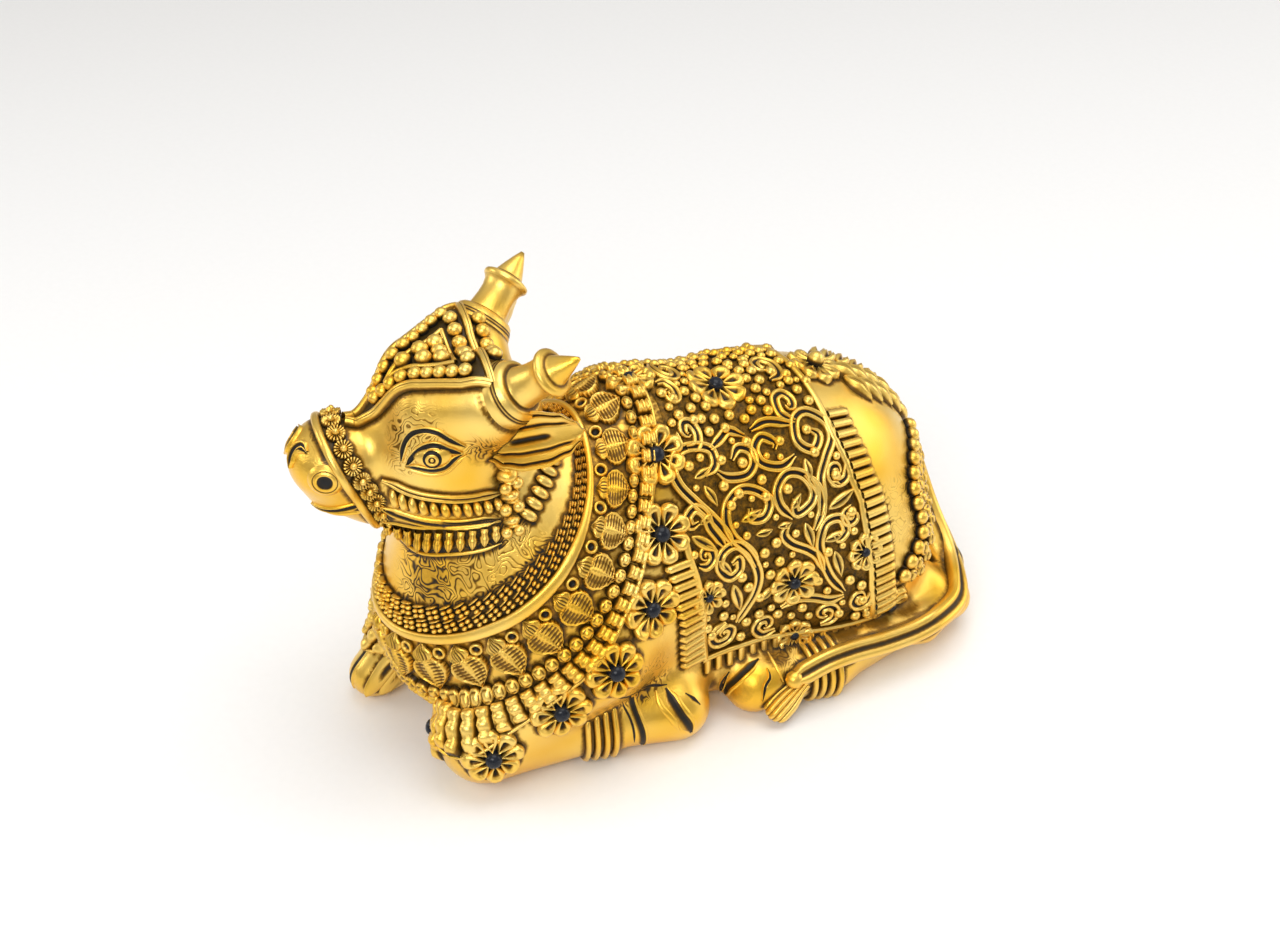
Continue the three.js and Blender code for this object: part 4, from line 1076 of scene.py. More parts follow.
def cloth_flowers(stones):
    flowers = Relief()
    for side in (1, -1):
        shapes = np.array(CLOTH_FLOWERS + [TOP_FLOWER] if side > 0 else CLOTH_FLOWERS)
        points, outs = on_cloth(shapes[:, 0], side * shapes[:, 1])
        lay_flowers(flowers, stones, points + outs * CLOTH_FLOWER_LIFT, outs, (0, 1, 0),
                    shapes[:, 2], CLOTH_FLOWER_HEIGHT, CLOTH_STONE, on_ground)
        shapes = np.array(CLOTH_LEAVES)
        starts, outs = on_cloth(shapes[:, 0], side * shapes[:, 1])
        ends, _ = on_cloth(shapes[:, 2], side * shapes[:, 3])
        lengths = np.linalg.norm(ends - starts, axis=1)
        widths = CLOTH_LEAF_WIDTH + lengths * CLOTH_LEAF_WIDENING
        sizes = np.stack([widths, lengths, np.full(len(starts), CLOTH_LEAF_HEIGHT)], -1)
        flowers.add_copies(LEAF, starts + outs * CLOTH_LEAF_LIFT, frames_at(outs, ends - starts), sizes)
    y, angle, radius = SPINE_FLOWER
    points, outs = on_cloth([y], [angle])
    flowers.add_copies(FLOWER, points + outs * SPINE_FLOWER_LIFT, frames_at(outs, (0, 1, 0)),
                       (radius, radius, SPINE_FLOWER_HEIGHT), trunk)
    lay_pearls(flowers, points + outs * SPINE_BEAD_LIFT, outs, np.array([SPINE_BEAD]))
    flowers.piece("cloth_flowers", polished)


stones = Relief()
cloth_flowers(stones)

# %% Pearls between them
PEARL_RADII, OPEN_ANGLE, SPARE_GAP = (2.1, 1.7, 1.4), 25, 1.3
PLACED_RADIUS = 2.05
PLACED_PEARLS = [(-8, 29), (5, 30), (17, 27), (29, 30), (18, 40), (3, 38), (18, 46), (27, 46), (41, 29),
                 (41, 37), (47, 47), (5, 75), (31, 103), (13, 90), (36, 90), (40, 77), (4, 21), (11, 21),
                 (20, 20), (24, 18), (29, 16), (29, 7), (29, 3), (47, 1), (45, 8), (45, 15), (44, 11),
                 (8, 42), (7, 112),
                 (-6, 104), (45, 109), (22, 105), (54, 105), (51, 63), (4, 45), (3, 17), (2, 8), (0, 17),
                 (-5, 15), (-4, 10), (-7, 8), (50, 4), (51, 12), (40, 6)]
PEARL_TRIES, PEARL_SEED = 9000, 7
HEM_MARGIN, FRONT_MARGIN, REAR_MARGIN = 3, 2.6, 3.0
SCROLL_HALF_WIDTH, TOUCHING = 1.7, 0.98
FLOWER_CLEARANCE, LEAF_CLEARANCE, LEAF_SHARES = 0.93, 1.7, (0.25, 0.5, 0.75)
PEARL_LIFT, MIRRORED_FROM = 0.8, 4


def distance_to_nearest(others, points):
    """How far each point is from the nearest of the others."""
    tree = KDTree(len(others))
    for i, place in enumerate(others.tolist()):
        tree.insert(place, i)
    tree.balance()
    return np.array([tree.find(place)[2] for place in points.tolist()])


def keep_clear(places, radius, kept, kept_radii):
    """Which places leave room for a pearl of this radius among the kept ones."""
    gaps = np.linalg.norm(places[:, None] - kept[None], axis=-1)
    return (gaps > radius + kept_radii).all(1)


def pearl_places(side, courses, kept, kept_radii):
    random = np.random.default_rng(PEARL_SEED + side)
    angle = side * random.uniform(0, CLOTH_DROP - HEM_MARGIN, PEARL_TRIES)
    y = random.uniform(front_edge(angle) + FRONT_MARGIN, rear_edge(angle) - REAR_MARGIN)
    points, outs = on_cloth(y, angle)
    off_scrolls = distance_to_nearest(courses, points) - SCROLL_HALF_WIDTH
    chosen = []
    for radius in PEARL_RADII:
        for i in np.flatnonzero((off_scrolls > radius) & keep_clear(points, radius, kept, kept_radii)):
            spare = SPARE_GAP * (abs(angle[i]) > OPEN_ANGLE)
            gaps = np.linalg.norm(kept - points[i], axis=1)
            if (gaps > (radius + kept_radii) * TOUCHING + spare).all():
                kept, kept_radii = np.vstack([kept, points[i]]), np.append(kept_radii, radius)
                chosen.append((i, radius))
    index = np.array([i for i, _ in chosen])
    return points[index], outs[index], np.array([radius for _, radius in chosen])


def taken_places(side):
    """The flowers and leaves of one side, as balls that the pearls keep clear of."""
    flowers = np.array(CLOTH_FLOWERS + [TOP_FLOWER, SPINE_FLOWER], float)
    sides = np.array([side] * len(CLOTH_FLOWERS) + [1, 1])
    middles, _ = on_cloth(flowers[:, 0], sides * flowers[:, 1])
    leaves = np.array(CLOTH_LEAVES, float)
    roots, tips = [on_cloth(leaves[:, a], side * leaves[:, a + 1])[0] for a in (0, 2)]
    along = [roots + (tips - roots) * share for share in LEAF_SHARES]
    leaf_radii = np.full(len(leaves) * len(LEAF_SHARES), LEAF_CLEARANCE)
    return np.vstack([middles, *along]), np.append(flowers[:, 2] * FLOWER_CLEARANCE, leaf_radii)


def cloth_pearls():
    pearls = Relief()
    for side in (1, -1):
        placed = np.array([place for place in PLACED_PEARLS if side > 0 or place[1] > MIRRORED_FROM], float)
        points, outs = on_cloth(placed[:, 0], side * placed[:, 1])
        radii = np.full(len(points), PLACED_RADIUS)
        lay_pearls(pearls, points + outs * PEARL_LIFT, outs, radii)
        taken, taken_radii = taken_places(side)
        taken, taken_radii = np.vstack([taken, points]), np.append(taken_radii, radii)
        points, outs, radii = pearl_places(side, scroll_courses, taken, taken_radii)
        lay_pearls(pearls, points + outs * PEARL_LIFT, outs, radii)
    pearls.piece("cloth_pearls", polished)


cloth_pearls()

# %% [markdown]
# ## Collars and garlands
# Round the neck, from the head outwards, come two rows of pearl clusters between short bars, a plain
# gold band, a row of heart-shaped leaves with dark rings between them, a thick garland of ovals
# and lobed cushions, and flowers hung over its rim. Each is a ring round the neck, so a place is a turn
# from the nape and a slant from the neck's own axis, and each row gives its slant at the nape, the
# side and the throat.

# %% Rows round the neck
ALL_ROUND = (-180, 180)
COLLAR_INNER, COLLAR_OUTER, GOLD_BAND = (55, 40, 30), (58, 49, 39), (60, 54, 42)
LEAF_ROOTS, LEAF_SHOULDERS, LEAF_TIPS = (61, 55, 43), (64, 60, 48), (71, 74, 60)
GARLAND_INNER, GARLAND_MIDDLE, GARLAND_OUTER = (70.5, 73, 61), (74, 80, 67), (77.5, 87, 73)


def slant_of(row, turn):
    nape, side, throat = row
    even, odd, bulge = (nape + throat) / 4 + side / 2, (nape - throat) / 2, (nape + throat) / 4 - side / 2
    return even + odd * np.cos(np.radians(turn)) + bulge * np.cos(np.radians(2 * turn))


def between_rows(first, second, share):
    return tuple(a + (b - a) * share for a, b in zip(first, second))


def at_row(row):
    return lambda turn: on_neck(turn, slant_of(row, turn))


def full_round(count):
    """Even turns all the way round, in degrees."""
    return np.linspace(*ALL_ROUND, count + 1)[:-1]

# %% Collar of pearl clusters
CLUSTER_PEARL, PEARL_OFFSET, PEARL_SINK = (0.235, 0.235, 0.6), 0.25, 0.25


def cluster_pattern():
    """Four pearls in a square of unit size."""
    pearls = Relief()
    for along in (PEARL_OFFSET, 1 - PEARL_OFFSET):
        for across in (-PEARL_OFFSET, PEARL_OFFSET):
            pearls.add_copies(BEAD, np.array([[across, along, PEARL_SINK]]), np.eye(3)[None], CLUSTER_PEARL)
    return pearls.pattern()


def short_bar(u, v):
    """A bar with rounded ends."""
    half = 0.5 * (1 - (2 * u - 1) ** 4) ** 0.5
    height = (1 - np.abs(2 * u - 1) ** 3) * (1 - v ** 4) - 0.3 * past_edge(v)
    return half * v, u, height, np.maximum(dark_edge(v, 0.75, 0.85), dark_edge(2 * u - 1, 0.75, 0.85))


CLUSTER, BAR = cluster_pattern(), carved(short_bar, 7, 9)
CLUSTER_PITCH, CLUSTER_ROWS = 5.1, 2
CLUSTER_HEIGHT, BAR_HEIGHT, CLUSTER_FILL = 2.6, 2.4, 0.96
# Where the bar and then the cluster start and end, as shares of a row
BAR_SPAN, CLUSTER_SPAN = (0.0, 0.16), (0.22, 0.96)


def pearl_collar():
    collar = Relief()
    width = CLUSTER_PITCH * CLUSTER_FILL
    for row in range(CLUSTER_ROWS):
        edges = [at_row(between_rows(COLLAR_INNER, COLLAR_OUTER, (row + share) / CLUSTER_ROWS))
                 for share in BAR_SPAN + CLUSTER_SPAN]
        turns = row_of(edges[0], *ALL_ROUND, CLUSTER_PITCH, inset=0.5 * row)
        lay_rank(collar, BAR, edges[0], edges[1], turns, width, BAR_HEIGHT, trunk_and_legs)
        lay_rank(collar, CLUSTER, edges[2], edges[3], turns, width, CLUSTER_HEIGHT, trunk_and_legs)
    collar.piece("pearl_collar", polished)


BAND_PROFILE = symmetric((-0.52, -0.8, 0.9), (-0.5, 1.2, 0.7), (-0.42, 2.0, 0.1), (-0.3, 2.3, 0.0),
                         (0, 2.5, 0.0))
BAND_PLACES = 160


def gold_band():
    band = Relief()
    turns = full_round(BAND_PLACES)
    points, outs = at_row(between_rows(COLLAR_OUTER, GOLD_BAND, 0.5))(turns)
    inner, _ = at_row(COLLAR_OUTER)(turns)
    outer, _ = at_row(GOLD_BAND)(turns)
    widths = np.linalg.norm(outer - inner, axis=1)
    lay_band(band, points, outs, BAND_PROFILE, swell=widths, closed=True)
    band.piece("gold_band", polished)


pearl_collar()
gold_band()

# %% [markdown]
# ### Leaves and rings
# Each leaf is two parts: a ribbed bud at the root, and a heart-shaped blade with a midrib, a raised
# edge and a woven hatch between. The hatch is fine, so it is carved into a sheet of close points.

# %% Neck leaves
BLADE_HALF = [(0, 0.27), (0.1, 0.4), (0.24, 0.485), (0.4, 0.5), (0.6, 0.43), (0.78, 0.27), (0.9, 0.12),
              (1, 0)]
BUD_HALF = [(0, 0), (0.14, 0.16), (0.4, 0.42), (0.66, 0.5), (0.88, 0.42), (1, 0.34)]
HATCH_BARS = 9


def raised_edge(v, start=0.83):
    """A thin wire along both edges of a sheet."""
    return np.sin(math.pi * np.clip((np.abs(v) - start) / (1 - start), 0, 1)) ** 0.6


def leaf_blade(u, v):
    """A blade with a midrib, a raised edge and bars between them, with painted shade on one half."""
    half = smooth_between(BLADE_HALF, u)
    wire = np.maximum(raised_edge(v), np.exp(-((u - 0.03) / 0.03) ** 2))
    rib_width = 0.05 + 0.16 * (1 - u)
    midrib = np.clip(1 - np.abs(v) / rib_width, 0, 1) ** 0.7
    bars = 0.5 + 0.5 * np.cos(u * HATCH_BARS * 2 * math.pi)
    bars = bars * (1 - 0.8 * np.exp(-((np.abs(v) - 0.52) / 0.07) ** 2))
    panel = 0.45 + 0.2 * (1 - np.abs(v)) + 0.22 * bars
    height = np.maximum(np.maximum(panel, 0.95 * wire), 0.5 + 0.55 * midrib) - 0.6 * past_edge(v)
    # The half with v >= 0 has dimmer bars, so it is darker overall: painted shade on the side of the leaf
    # away from the light
    dark = (0.8 - 0.75 * bars) * (v < 0) + (0.72 - 0.42 * bars) * (v >= 0)
    tarnish = dark * (1 - wire) * (1 - np.minimum(3 * midrib, 1))
    return half * v, u, height - 0.4 * past_edge(u) - 0.4 * (u < 1 - EDGE), tarnish


def leaf_bud(u, v):
    """A bud with a raised edge and ribs along it."""
    half = smooth_between(BUD_HALF, u)
    wire = raised_edge(v, 0.78)
    ribs = 0.5 + 0.5 * np.cos(np.abs(v) * 3 * 2 * math.pi)
    height = np.maximum(0.5 + 0.25 * ribs + 0.3 * (1 - np.abs(v)), 0.95 * wire) * step_up(u, -0.1, 0.3)
    return half * v, u, height - 0.5 * past_edge(v), 0.85 * (1 - ribs) * (1 - wire)


BLADE, BUD = carved(leaf_blade, 44, 27), carved(leaf_bud, 10, 21)
LEAF_COUNT = 22
BLADE_WIDTH, BUD_WIDTH, LEAF_HEIGHT, BUD_REACH = 13.2, 7.6, 3.0, 0.06
RING_RADIUS, RING_HEIGHT, RING_SHARE = 2.4, 2.0, 0.14


def neck_leaves():
    leaves = Relief()
    roots, shoulders, tips = at_row(LEAF_ROOTS), at_row(LEAF_SHOULDERS), at_row(LEAF_TIPS)
    turns = row_of(shoulders, *ALL_ROUND, perimeter_of(shoulders) / LEAF_COUNT)
    lay_rank(leaves, BLADE, shoulders, tips, turns, BLADE_WIDTH, LEAF_HEIGHT, trunk_and_legs)
    bud_ends = at_row(between_rows(LEAF_SHOULDERS, LEAF_TIPS, BUD_REACH))
    lay_rank(leaves, BUD, roots, bud_ends, turns, BUD_WIDTH, LEAF_HEIGHT, trunk_and_legs)
    between = (turns + np.roll(turns, -1)) / 2
    between[-1] = 180 + (turns[-1] + turns[0]) / 2
    points, outs = at_row(between_rows(LEAF_ROOTS, LEAF_TIPS, RING_SHARE))(between)
    leaves.add_copies(DARK_RING, points, frames_at(outs, NECK_AXIS), (RING_RADIUS, RING_RADIUS, RING_HEIGHT))
    leaves.piece("neck_leaves", polished)


def perimeter_of(place):
    points, _ = place(np.linspace(*ALL_ROUND, ROW_STEPS))
    return np.linalg.norm(np.diff(points, axis=0), axis=1).sum()


neck_leaves()

# %% [markdown]
# ### The garland and its flowers
# The garland has a row of ovals, a staggered row of cushions with three lobes each, and a plain rim
# under them. The flowers hang over the rim, one over the next, each with a domed black stone. The
# stones are a different material, so they are gathered apart.

# %% The garland
GARLAND_PITCH, GARLAND_FILL = 5.5, 0.98
SEED_HEIGHT, CUSHION_HEIGHT = 3.8, 4.2
SEED_SHARE, CUSHION_GAP, CUSHION_END = 0.40, 0.03, 0.97
GARLAND_RIM = symmetric((-0.9, -0.8, 0.9), (-0.8, 1.0, 0.5), (-0.4, 1.7, 0.05), (0, 1.9, 0))


def garland():
    cushions = Relief()
    edges = [at_row(between_rows(GARLAND_INNER, GARLAND_OUTER, share))
             for share in (0.0, SEED_SHARE, SEED_SHARE + CUSHION_GAP, CUSHION_END)]
    middle, width = at_row(GARLAND_MIDDLE), GARLAND_PITCH * GARLAND_FILL
    turns = row_of(middle, *ALL_ROUND, GARLAND_PITCH)
    lay_rank(cushions, SEED, edges[0], edges[1], turns, width, SEED_HEIGHT, trunk_and_legs)
    turns = row_of(middle, *ALL_ROUND, GARLAND_PITCH, inset=0)
    lay_rank(cushions, CUSHION, edges[2], edges[3], turns, width, CUSHION_HEIGHT, trunk_and_legs)
    lay_band(cushions, *at_row(GARLAND_OUTER)(full_round(BAND_PLACES)), GARLAND_RIM, closed=True)
    cushions.piece("garland", polished)


garland()

# %% Garland flowers and their stones
GARLAND_FLOWERS = [(24, 79), (47, 88), (74, 97), (100, 93), (122, 87), (142, 81), (164, 77)]
FLOWER_RADIUS, NAPE_FLOWER = 11.2, (0, 76, 9)
GARLAND_FLOWER_HEIGHT, BIG_STONE, FLOWER_LIFT = 3.0, 0.27, 0.4


def lifted_skin(points):
    return trunk_and_legs(points) - FLOWER_LIFT


def garland_flowers(stones):
    flowers = Relief()
    places = [(side * turn, slant, FLOWER_RADIUS) for turn, slant in GARLAND_FLOWERS for side in (1, -1)]
    places = np.array([NAPE_FLOWER] + places)
    points, outs = on_neck(places[:, 0], places[:, 1])
    lay_flowers(flowers, stones, points, outs, NECK_AXIS, places[:, 2], GARLAND_FLOWER_HEIGHT,
                BIG_STONE, lifted_skin)
    flowers.piece("garland_flowers", polished)


garland_flowers(stones)

# %% [markdown]
# ## The harness over the rump
# A strap runs from the spine flower over the croup and down each side to a flower low on the thigh.
# On the bull it is a line of pearls with two rows of oval pads outside it, and a double row of
# leaves along the spine.

# %% Pearl line, pads and leaves
PEARL_LINE = [(98, 26), (94, 39), (89, 50), (86, 59), (84, 66), (84, 75), (85, 85), (84, 91), (80, 96),
              (75, 101), (72, 106)]
LINE_STEP, LINE_PEARL, LINE_PEARL_RISE, PEARL_LINE_PITCH = 1.0, 2.9, 0.4, 5.6
PAD_PITCH, PAD_FILL, PAD_HEIGHT, PAD_ABOVE, PAD_BELOW = 6.2, 0.97, 3.0, 4, 14
# Each row of pads: its gap from the pearl line, its inset in pitches and its width
PAD_ROWS = [(3.2, 0.5, 5.4), (8.4, 0.0, 5.2)]
CROUP_LEAF_PLACES, CROUP_LEAF_WIDTH = (70, 76, 82, 88, 94), 0.6
# The two leaves of each place: y and angle of the root, y and angle of the tip, and the height
CROUP_LEAVES = [(-1.0, 1.5, 7.0, 11.0, 4.4), (1.0, 9.0, 7.5, 21.0, 4.0)]
HARNESS_FLOWERS = [(69, 117, 9.0), (69, -117, 9.0), (61, 112, 6.0), (61, -112, 6.0)]
HARNESS_FLOWER_HEIGHT = 2.6


def pearl_line(side):
    """A place function along the line, and its last place."""
    course = curve_through(PEARL_LINE, LINE_STEP)
    steps = np.arange(len(course))

    def place(t):
        return on_cloth(np.interp(t, steps, course[:, 0]), side * np.interp(t, steps, course[:, 1]))
    return place, len(course) - 1


def pads_outside(side, gap, width):
    """A place outside the pearl line, further round the rump by a width."""
    line, _ = pearl_line(side)

    def place(t):
        points, outs = line(t)
        ahead = line(t + 0.5)[0] - line(t - 0.5)[0]
        shifted = points + unit(np.cross(outs, ahead) * side) * (gap + width)
        return settle(shifted, outs, trunk, PAD_ABOVE, PAD_BELOW), slopes(shifted, trunk)
    return place


def harness():
    strap = Relief()
    for side in (1, -1):
        line, last = pearl_line(side)
        t = row_of(line, 0, last, PEARL_LINE_PITCH)
        points, outs = line(t)
        lay_pearls(strap, points, outs, np.full(len(points), LINE_PEARL), rise=LINE_PEARL_RISE)
        for gap, inset, width in PAD_ROWS:
            inner, outer = pads_outside(side, gap, 0), pads_outside(side, gap, width)
            t = row_of(inner, 0, last, PAD_PITCH, inset)
            lay_rank(strap, SEED, inner, outer, t, PAD_PITCH * PAD_FILL, PAD_HEIGHT, trunk)
    strap.piece("rump_harness", polished)


def croup_leaves():
    leaves = Relief()
    root_y, root_angle, tip_y, tip_angle, heights = np.transpose(CROUP_LEAVES)
    for side in (1, -1):
        for y in CROUP_LEAF_PLACES:
            starts, outs = on_cloth(y + root_y, side * root_angle)
            ends, _ = on_cloth(y + tip_y, side * tip_angle)
            lengths = np.linalg.norm(ends - starts, axis=1)
            sizes = np.stack([lengths * CROUP_LEAF_WIDTH, lengths, heights], -1)
            leaves.add_copies(LEAF, starts, frames_at(outs, ends - starts), sizes, trunk)
    leaves.piece("croup_leaves", polished)


def harness_flowers(stones):
    flowers = Relief()
    y, angle, radii = np.transpose(HARNESS_FLOWERS)
    points, outs = on_cloth(y, angle)
    lay_flowers(flowers, stones, points, outs, (0, 1, 0), radii, HARNESS_FLOWER_HEIGHT, BIG_STONE, trunk)
    flowers.piece("harness_flowers", polished)


harness()
croup_leaves()
harness_flowers(stones)
stones.piece("flower_stones", black_stone)

# %% [markdown]
# ## Lines on the head
# The bridle, the eyes and the brow are bands drawn on the head. Each is given by a few stops in the
# head's own frame of forward, left and up, and a smooth curve through them is pulled on to the skin
# along the slope of the distances. The other side uses the same stops with left turned to right.

# %% Places along a line on the head
PULLS, HEAD_STEP, LINE_PLACES = 8, 0.6, 60
TAPER = (0.3, 8)


def head_and_neck(points):
    return blend(trunk_and_legs(points), head(points), HEAD_SOFTNESS)


def pulled_on(points, form):
    """The places of the form nearest to some points, and their outward directions."""
    for _ in range(PULLS):
        points = points - form(points)[:, None] * slopes(points, form)
    return points, slopes(points, form)


def head_line(stops, side=1):
    """A place function of t from 0 to 1 along a curve on the head."""
    curve = curve_through(np.array(stops, float) * (1, side, 1), HEAD_STEP)
    shares = np.linspace(0, 1, len(curve))

    def place(t):
        local = np.stack([np.interp(t, shares, column) for column in curve.T], -1)
        return pulled_on(on_head(local), head_and_neck)
    return place


def lay_line(relief, stops, profile, side, swell=1.0, taper=TAPER):
    """A band along a curve on the head, thinner at both ends."""
    points, outs = head_line(stops, side)(np.linspace(0, 1, LINE_PLACES))
    lay_band(relief, points, outs, profile, tapering(LINE_PLACES, *taper) * swell)

# %% [markdown]
# ## Eyes
# The eye is long and drawn like a painted one: a black line over the brow, a black line for each
# lid, and a raised ball with a ring and a dot. The lines are grooves filled with patina, so each is
# a narrow band with a raised gold lip on both sides.

# %% The eyes
BROW = [(21.8, 19.6, 6.0), (19.3, 18.8, 12.5), (16.5, 19.6, 16.2), (12.5, 21, 17.6), (8.5, 22.7, 16.9),
        (5, 24.1, 14.2), (0.5, 25, 11.2)]
LID_TOP = [(20.4, 20.6, 4.8), (16.6, 21.8, 9.9), (12.9, 22.4, 12.2), (9.4, 23.3, 12.6), (6, 24.3, 10.5),
           (1.8, 24.6, 8.4)]
LID_LOW = [(20.4, 20.6, 4.8), (16.6, 22.4, 4.4), (12.2, 23.7, 3.6), (8.2, 24.6, 4.5), (4.8, 24.7, 6.9),
           (1.8, 24.6, 8.4)]
UNDER_LID = [(21.4, 20.2, 3.6), (17, 22.2, 2.2), (12.2, 23.5, 1.3), (7.6, 24.6, 2.4), (4, 24.8, 5.1),
             (0.6, 24.8, 7.4)]
BLACK_LINE = symmetric((-1.6, -0.4, 0.4), (-1.4, 0.5, 0.1), (-1.05, 0.8, 0.0), (-0.85, 0.2, 1),
                       (0, 0.05, 1))
FINE_RIDGE = symmetric((-0.8, -0.4, 0.7), (-0.5, 0.4, 0.1), (0, 0.6, 0))
EYE_LINES, EYE_TAPER = [(BROW, 0.85), (LID_TOP, 0.9), (LID_LOW, 0.75)], (0.35, 10)
EYE_MIDDLE, EYEBALL_SIZE, IRIS_SIZE = (11.4, 23.6, 8.3), (3.5, 6.4, 1.3), (3.0, 3.1, 1.1)
EYEBALL = turned_pattern([(1, -0.6, 0.7), (1, 0.0, 0.4), (0.88, 0.5, 0.05), (0.7, 0.8, 0), (0.4, 1, 0)], 24)
IRIS = turned_pattern([(1.0, -0.4, 1), (1.0, 0.3, 1), (0.96, 0.62, 1), (0.72, 0.66, 1), (0.68, 1.0, 0.1),
                       (0.52, 1.1, 0), (0.4, 1.05, 0.1), (0.36, 0.66, 1), (0.24, 0.66, 1), (0.2, 1.0, 0.1),
                       (0.1, 1.15, 0)], 28)


def eyes():
    eyes = Relief()
    for side in (1, -1):
        for stops, width in EYE_LINES:
            lay_line(eyes, stops, BLACK_LINE, side, width, EYE_TAPER)
        lay_line(eyes, UNDER_LID, FINE_RIDGE, side)
        point, out = head_line([EYE_MIDDLE, np.add(EYE_MIDDLE, (1, 0, 0))], side)(np.array([0.0]))
        frames = frames_at(out, HEAD_AXES[0])
        eyes.add_copies(EYEBALL, point, frames, EYEBALL_SIZE, head_and_neck)
        eyes.add_copies(IRIS, point + out, frames, IRIS_SIZE)
    eyes.piece("eyes", polished, gathers_patina=False)


eyes()

# %% [markdown]
# ## Nostrils and mouth
# Each side has a black almond with a raised ring and a domed shoulder round it, and the nostril
# itself is a curved slit at the front. The mouth is a long slit, with a fine ridge as lower lip.

# %% Nostrils and mouth
CHEEK_RING, CHEEK_RING_SIZE = (45.6, 15.2, 2.4), (3.4, 3.168, 1.2)
RING = turned_pattern([(1.9, -0.5, 0.3), (1.75, 0.15, 0.0), (1.4, 0.75, 0.0), (1.28, 0.8, 0.3),
                       (1.22, 0.6, 0.9), (1.15, 0.62, 0.3), (1.0, 0.85, 0.0), (0.82, 0.8, 0.1),
                       (0.72, 0.45, 0.9), (0.45, 0.3, 1), (0.1, 0.35, 1)], 32)
NOSTRIL = [(48.6, 7.5, 9.6), (50.4, 4.2, 10.6), (52.6, 3.0, 8.6), (53.9, 3.6, 5.6), (54.6, 4.4, 3.4)]
NOSTRIL_PROFILE = [(-2.1, -0.4, 0.3), (-1.7, 0.7, 0.0), (-1.2, 1.0, 0.0), (-0.8, 0.3, 0.95), (0, -0.1, 1),
                   (0.8, 0.3, 0.95), (1.2, 0.9, 0.0), (1.7, 0.6, 0.1), (2.1, -0.4, 0.3)]
MOUTH = [(30, 14, -13.8), (25.7, 15.2, -16.1), (15.9, 20.5, -18.6), (6.2, 24.1, -19.7), (-7, 26.1, -19.7)]
MUZZLE_MOUTH = [(50, 4, -12), (46.3, 9.5, -12.1), (41.2, 12.4, -11.2), (35.6, 13.1, -10.4)]
LOWER_LIP = [(47, 4, -15), (43.5, 8.5, -15), (39, 11.4, -14.6), (35, 12.3, -14)]
SLIT = symmetric((-2.2, -0.4, 0.5), (-1.9, 0.6, 0.1), (-1.3, 0.9, 0), (-0.9, 0.3, 0.9), (0, -0.1, 1))
MUZZLE_TAPER = (0.3, 14)
# Each line of the muzzle: its stops, its section, how much it is widened and its taper
MUZZLE_LINES = [(NOSTRIL, NOSTRIL_PROFILE, 1.25, MUZZLE_TAPER), (LOWER_LIP, FINE_RIDGE, 1.6, MUZZLE_TAPER),
                (MOUTH, SLIT, 1.0, TAPER), (MUZZLE_MOUTH, BLACK_LINE, 1.0, TAPER)]


def nostrils_and_mouth():
    face = Relief()
    for side in (1, -1):
        point, out = pulled_on(on_head([np.multiply(CHEEK_RING, (1, side, 1))]), head)
        face.add_copies(RING, point, frames_at(out, (0, 0, 1)), CHEEK_RING_SIZE, head)
        for stops, profile, swell, taper in MUZZLE_LINES:
            lay_line(face, stops, profile, side, swell, taper)
    face.piece("nostrils_and_mouth", polished, gathers_patina=False)


nostrils_and_mouth()

# %% [markdown]
# ## The bridle
# A noseband of fluted rosettes goes right round the muzzle behind a plain rim. From it a double
# ridge runs back over a row of tooth-like pearls above the mouth, and a row of upright pointed beads
# hangs along the jaw. A stack of beads hangs from the ear, and a strap of small pillows runs from
# behind the ear to the collar.

# %% Noseband
ROSETTE_PITCH, ROSETTE_SIZE = 5.9, (3.3, 3.3, 2.6)
NOSE_MIDDLE, NOSE_LEAN = (35, 0, -2), 0.33
NOSE_RIM_SHIFT, ROSETTE_SHIFT, NOSE_RIM_PLACES = 3.6, -1.2, 96
NOSE_RIM = symmetric((-1.5, -0.6, 0.8), (-1.35, 0.9, 0.4), (-0.8, 1.6, 0.0), (0, 1.8, 0))


def round_nose(shift):
    """A place function round the muzzle, shifted forward along it."""
    def place(turn):
        turn = np.radians(turn)
        ways = np.stack([NOSE_LEAN * np.cos(turn), np.sin(turn), np.cos(turn)], -1)
        return on_face(np.add(NOSE_MIDDLE, (shift, 0, 0)), ways)
    return place


def flute(u, v):
    """One flute of a rosette, wider outwards."""
    height = (0.55 + 0.35 * u) * (1 - v ** 2 * 0.8) - 0.5 * past_edge(u)
    tarnish = np.maximum(dark_edge(v, 0.5, 0.95, end=0.95), dark_edge(u, 0.93, 0.9))
    return (0.12 + 0.38 * u) * v, u, height, tarnish


FLUTES, FLUTE_ROOT, FLUTE_LENGTH, FLUTE_WIDTH = 16, 0.34, 0.66, 0.38
ROSETTE_BEAD, ROSETTE_BEAD_LIFT = (0.38, 0.38, 0.7), (0, 0, 0.5)


def rosette_pattern():
    """Sixteen flutes round a bead, in a round of unit radius."""
    bead, faces, tarnish = BEAD
    rosette = Relief()
    rosette.add(*ring_of(carved(flute, 5, 5), FLUTES, FLUTE_ROOT, FLUTE_LENGTH, FLUTE_WIDTH))
    rosette.add(bead * ROSETTE_BEAD + ROSETTE_BEAD_LIFT, faces, tarnish)
    return rosette.pattern()


ROSETTE = rosette_pattern()


def noseband():
    band = Relief()
    lay_band(band, *round_nose(NOSE_RIM_SHIFT)(full_round(NOSE_RIM_PLACES)), NOSE_RIM, closed=True)
    middle = round_nose(ROSETTE_SHIFT)
    points, outs = middle(row_of(middle, *ALL_ROUND, ROSETTE_PITCH, inset=0.0))
    band.add_copies(ROSETTE, points, frames_at(outs, HEAD_AXES[0]), ROSETTE_SIZE, head)
    band.piece("noseband", polished)


noseband()

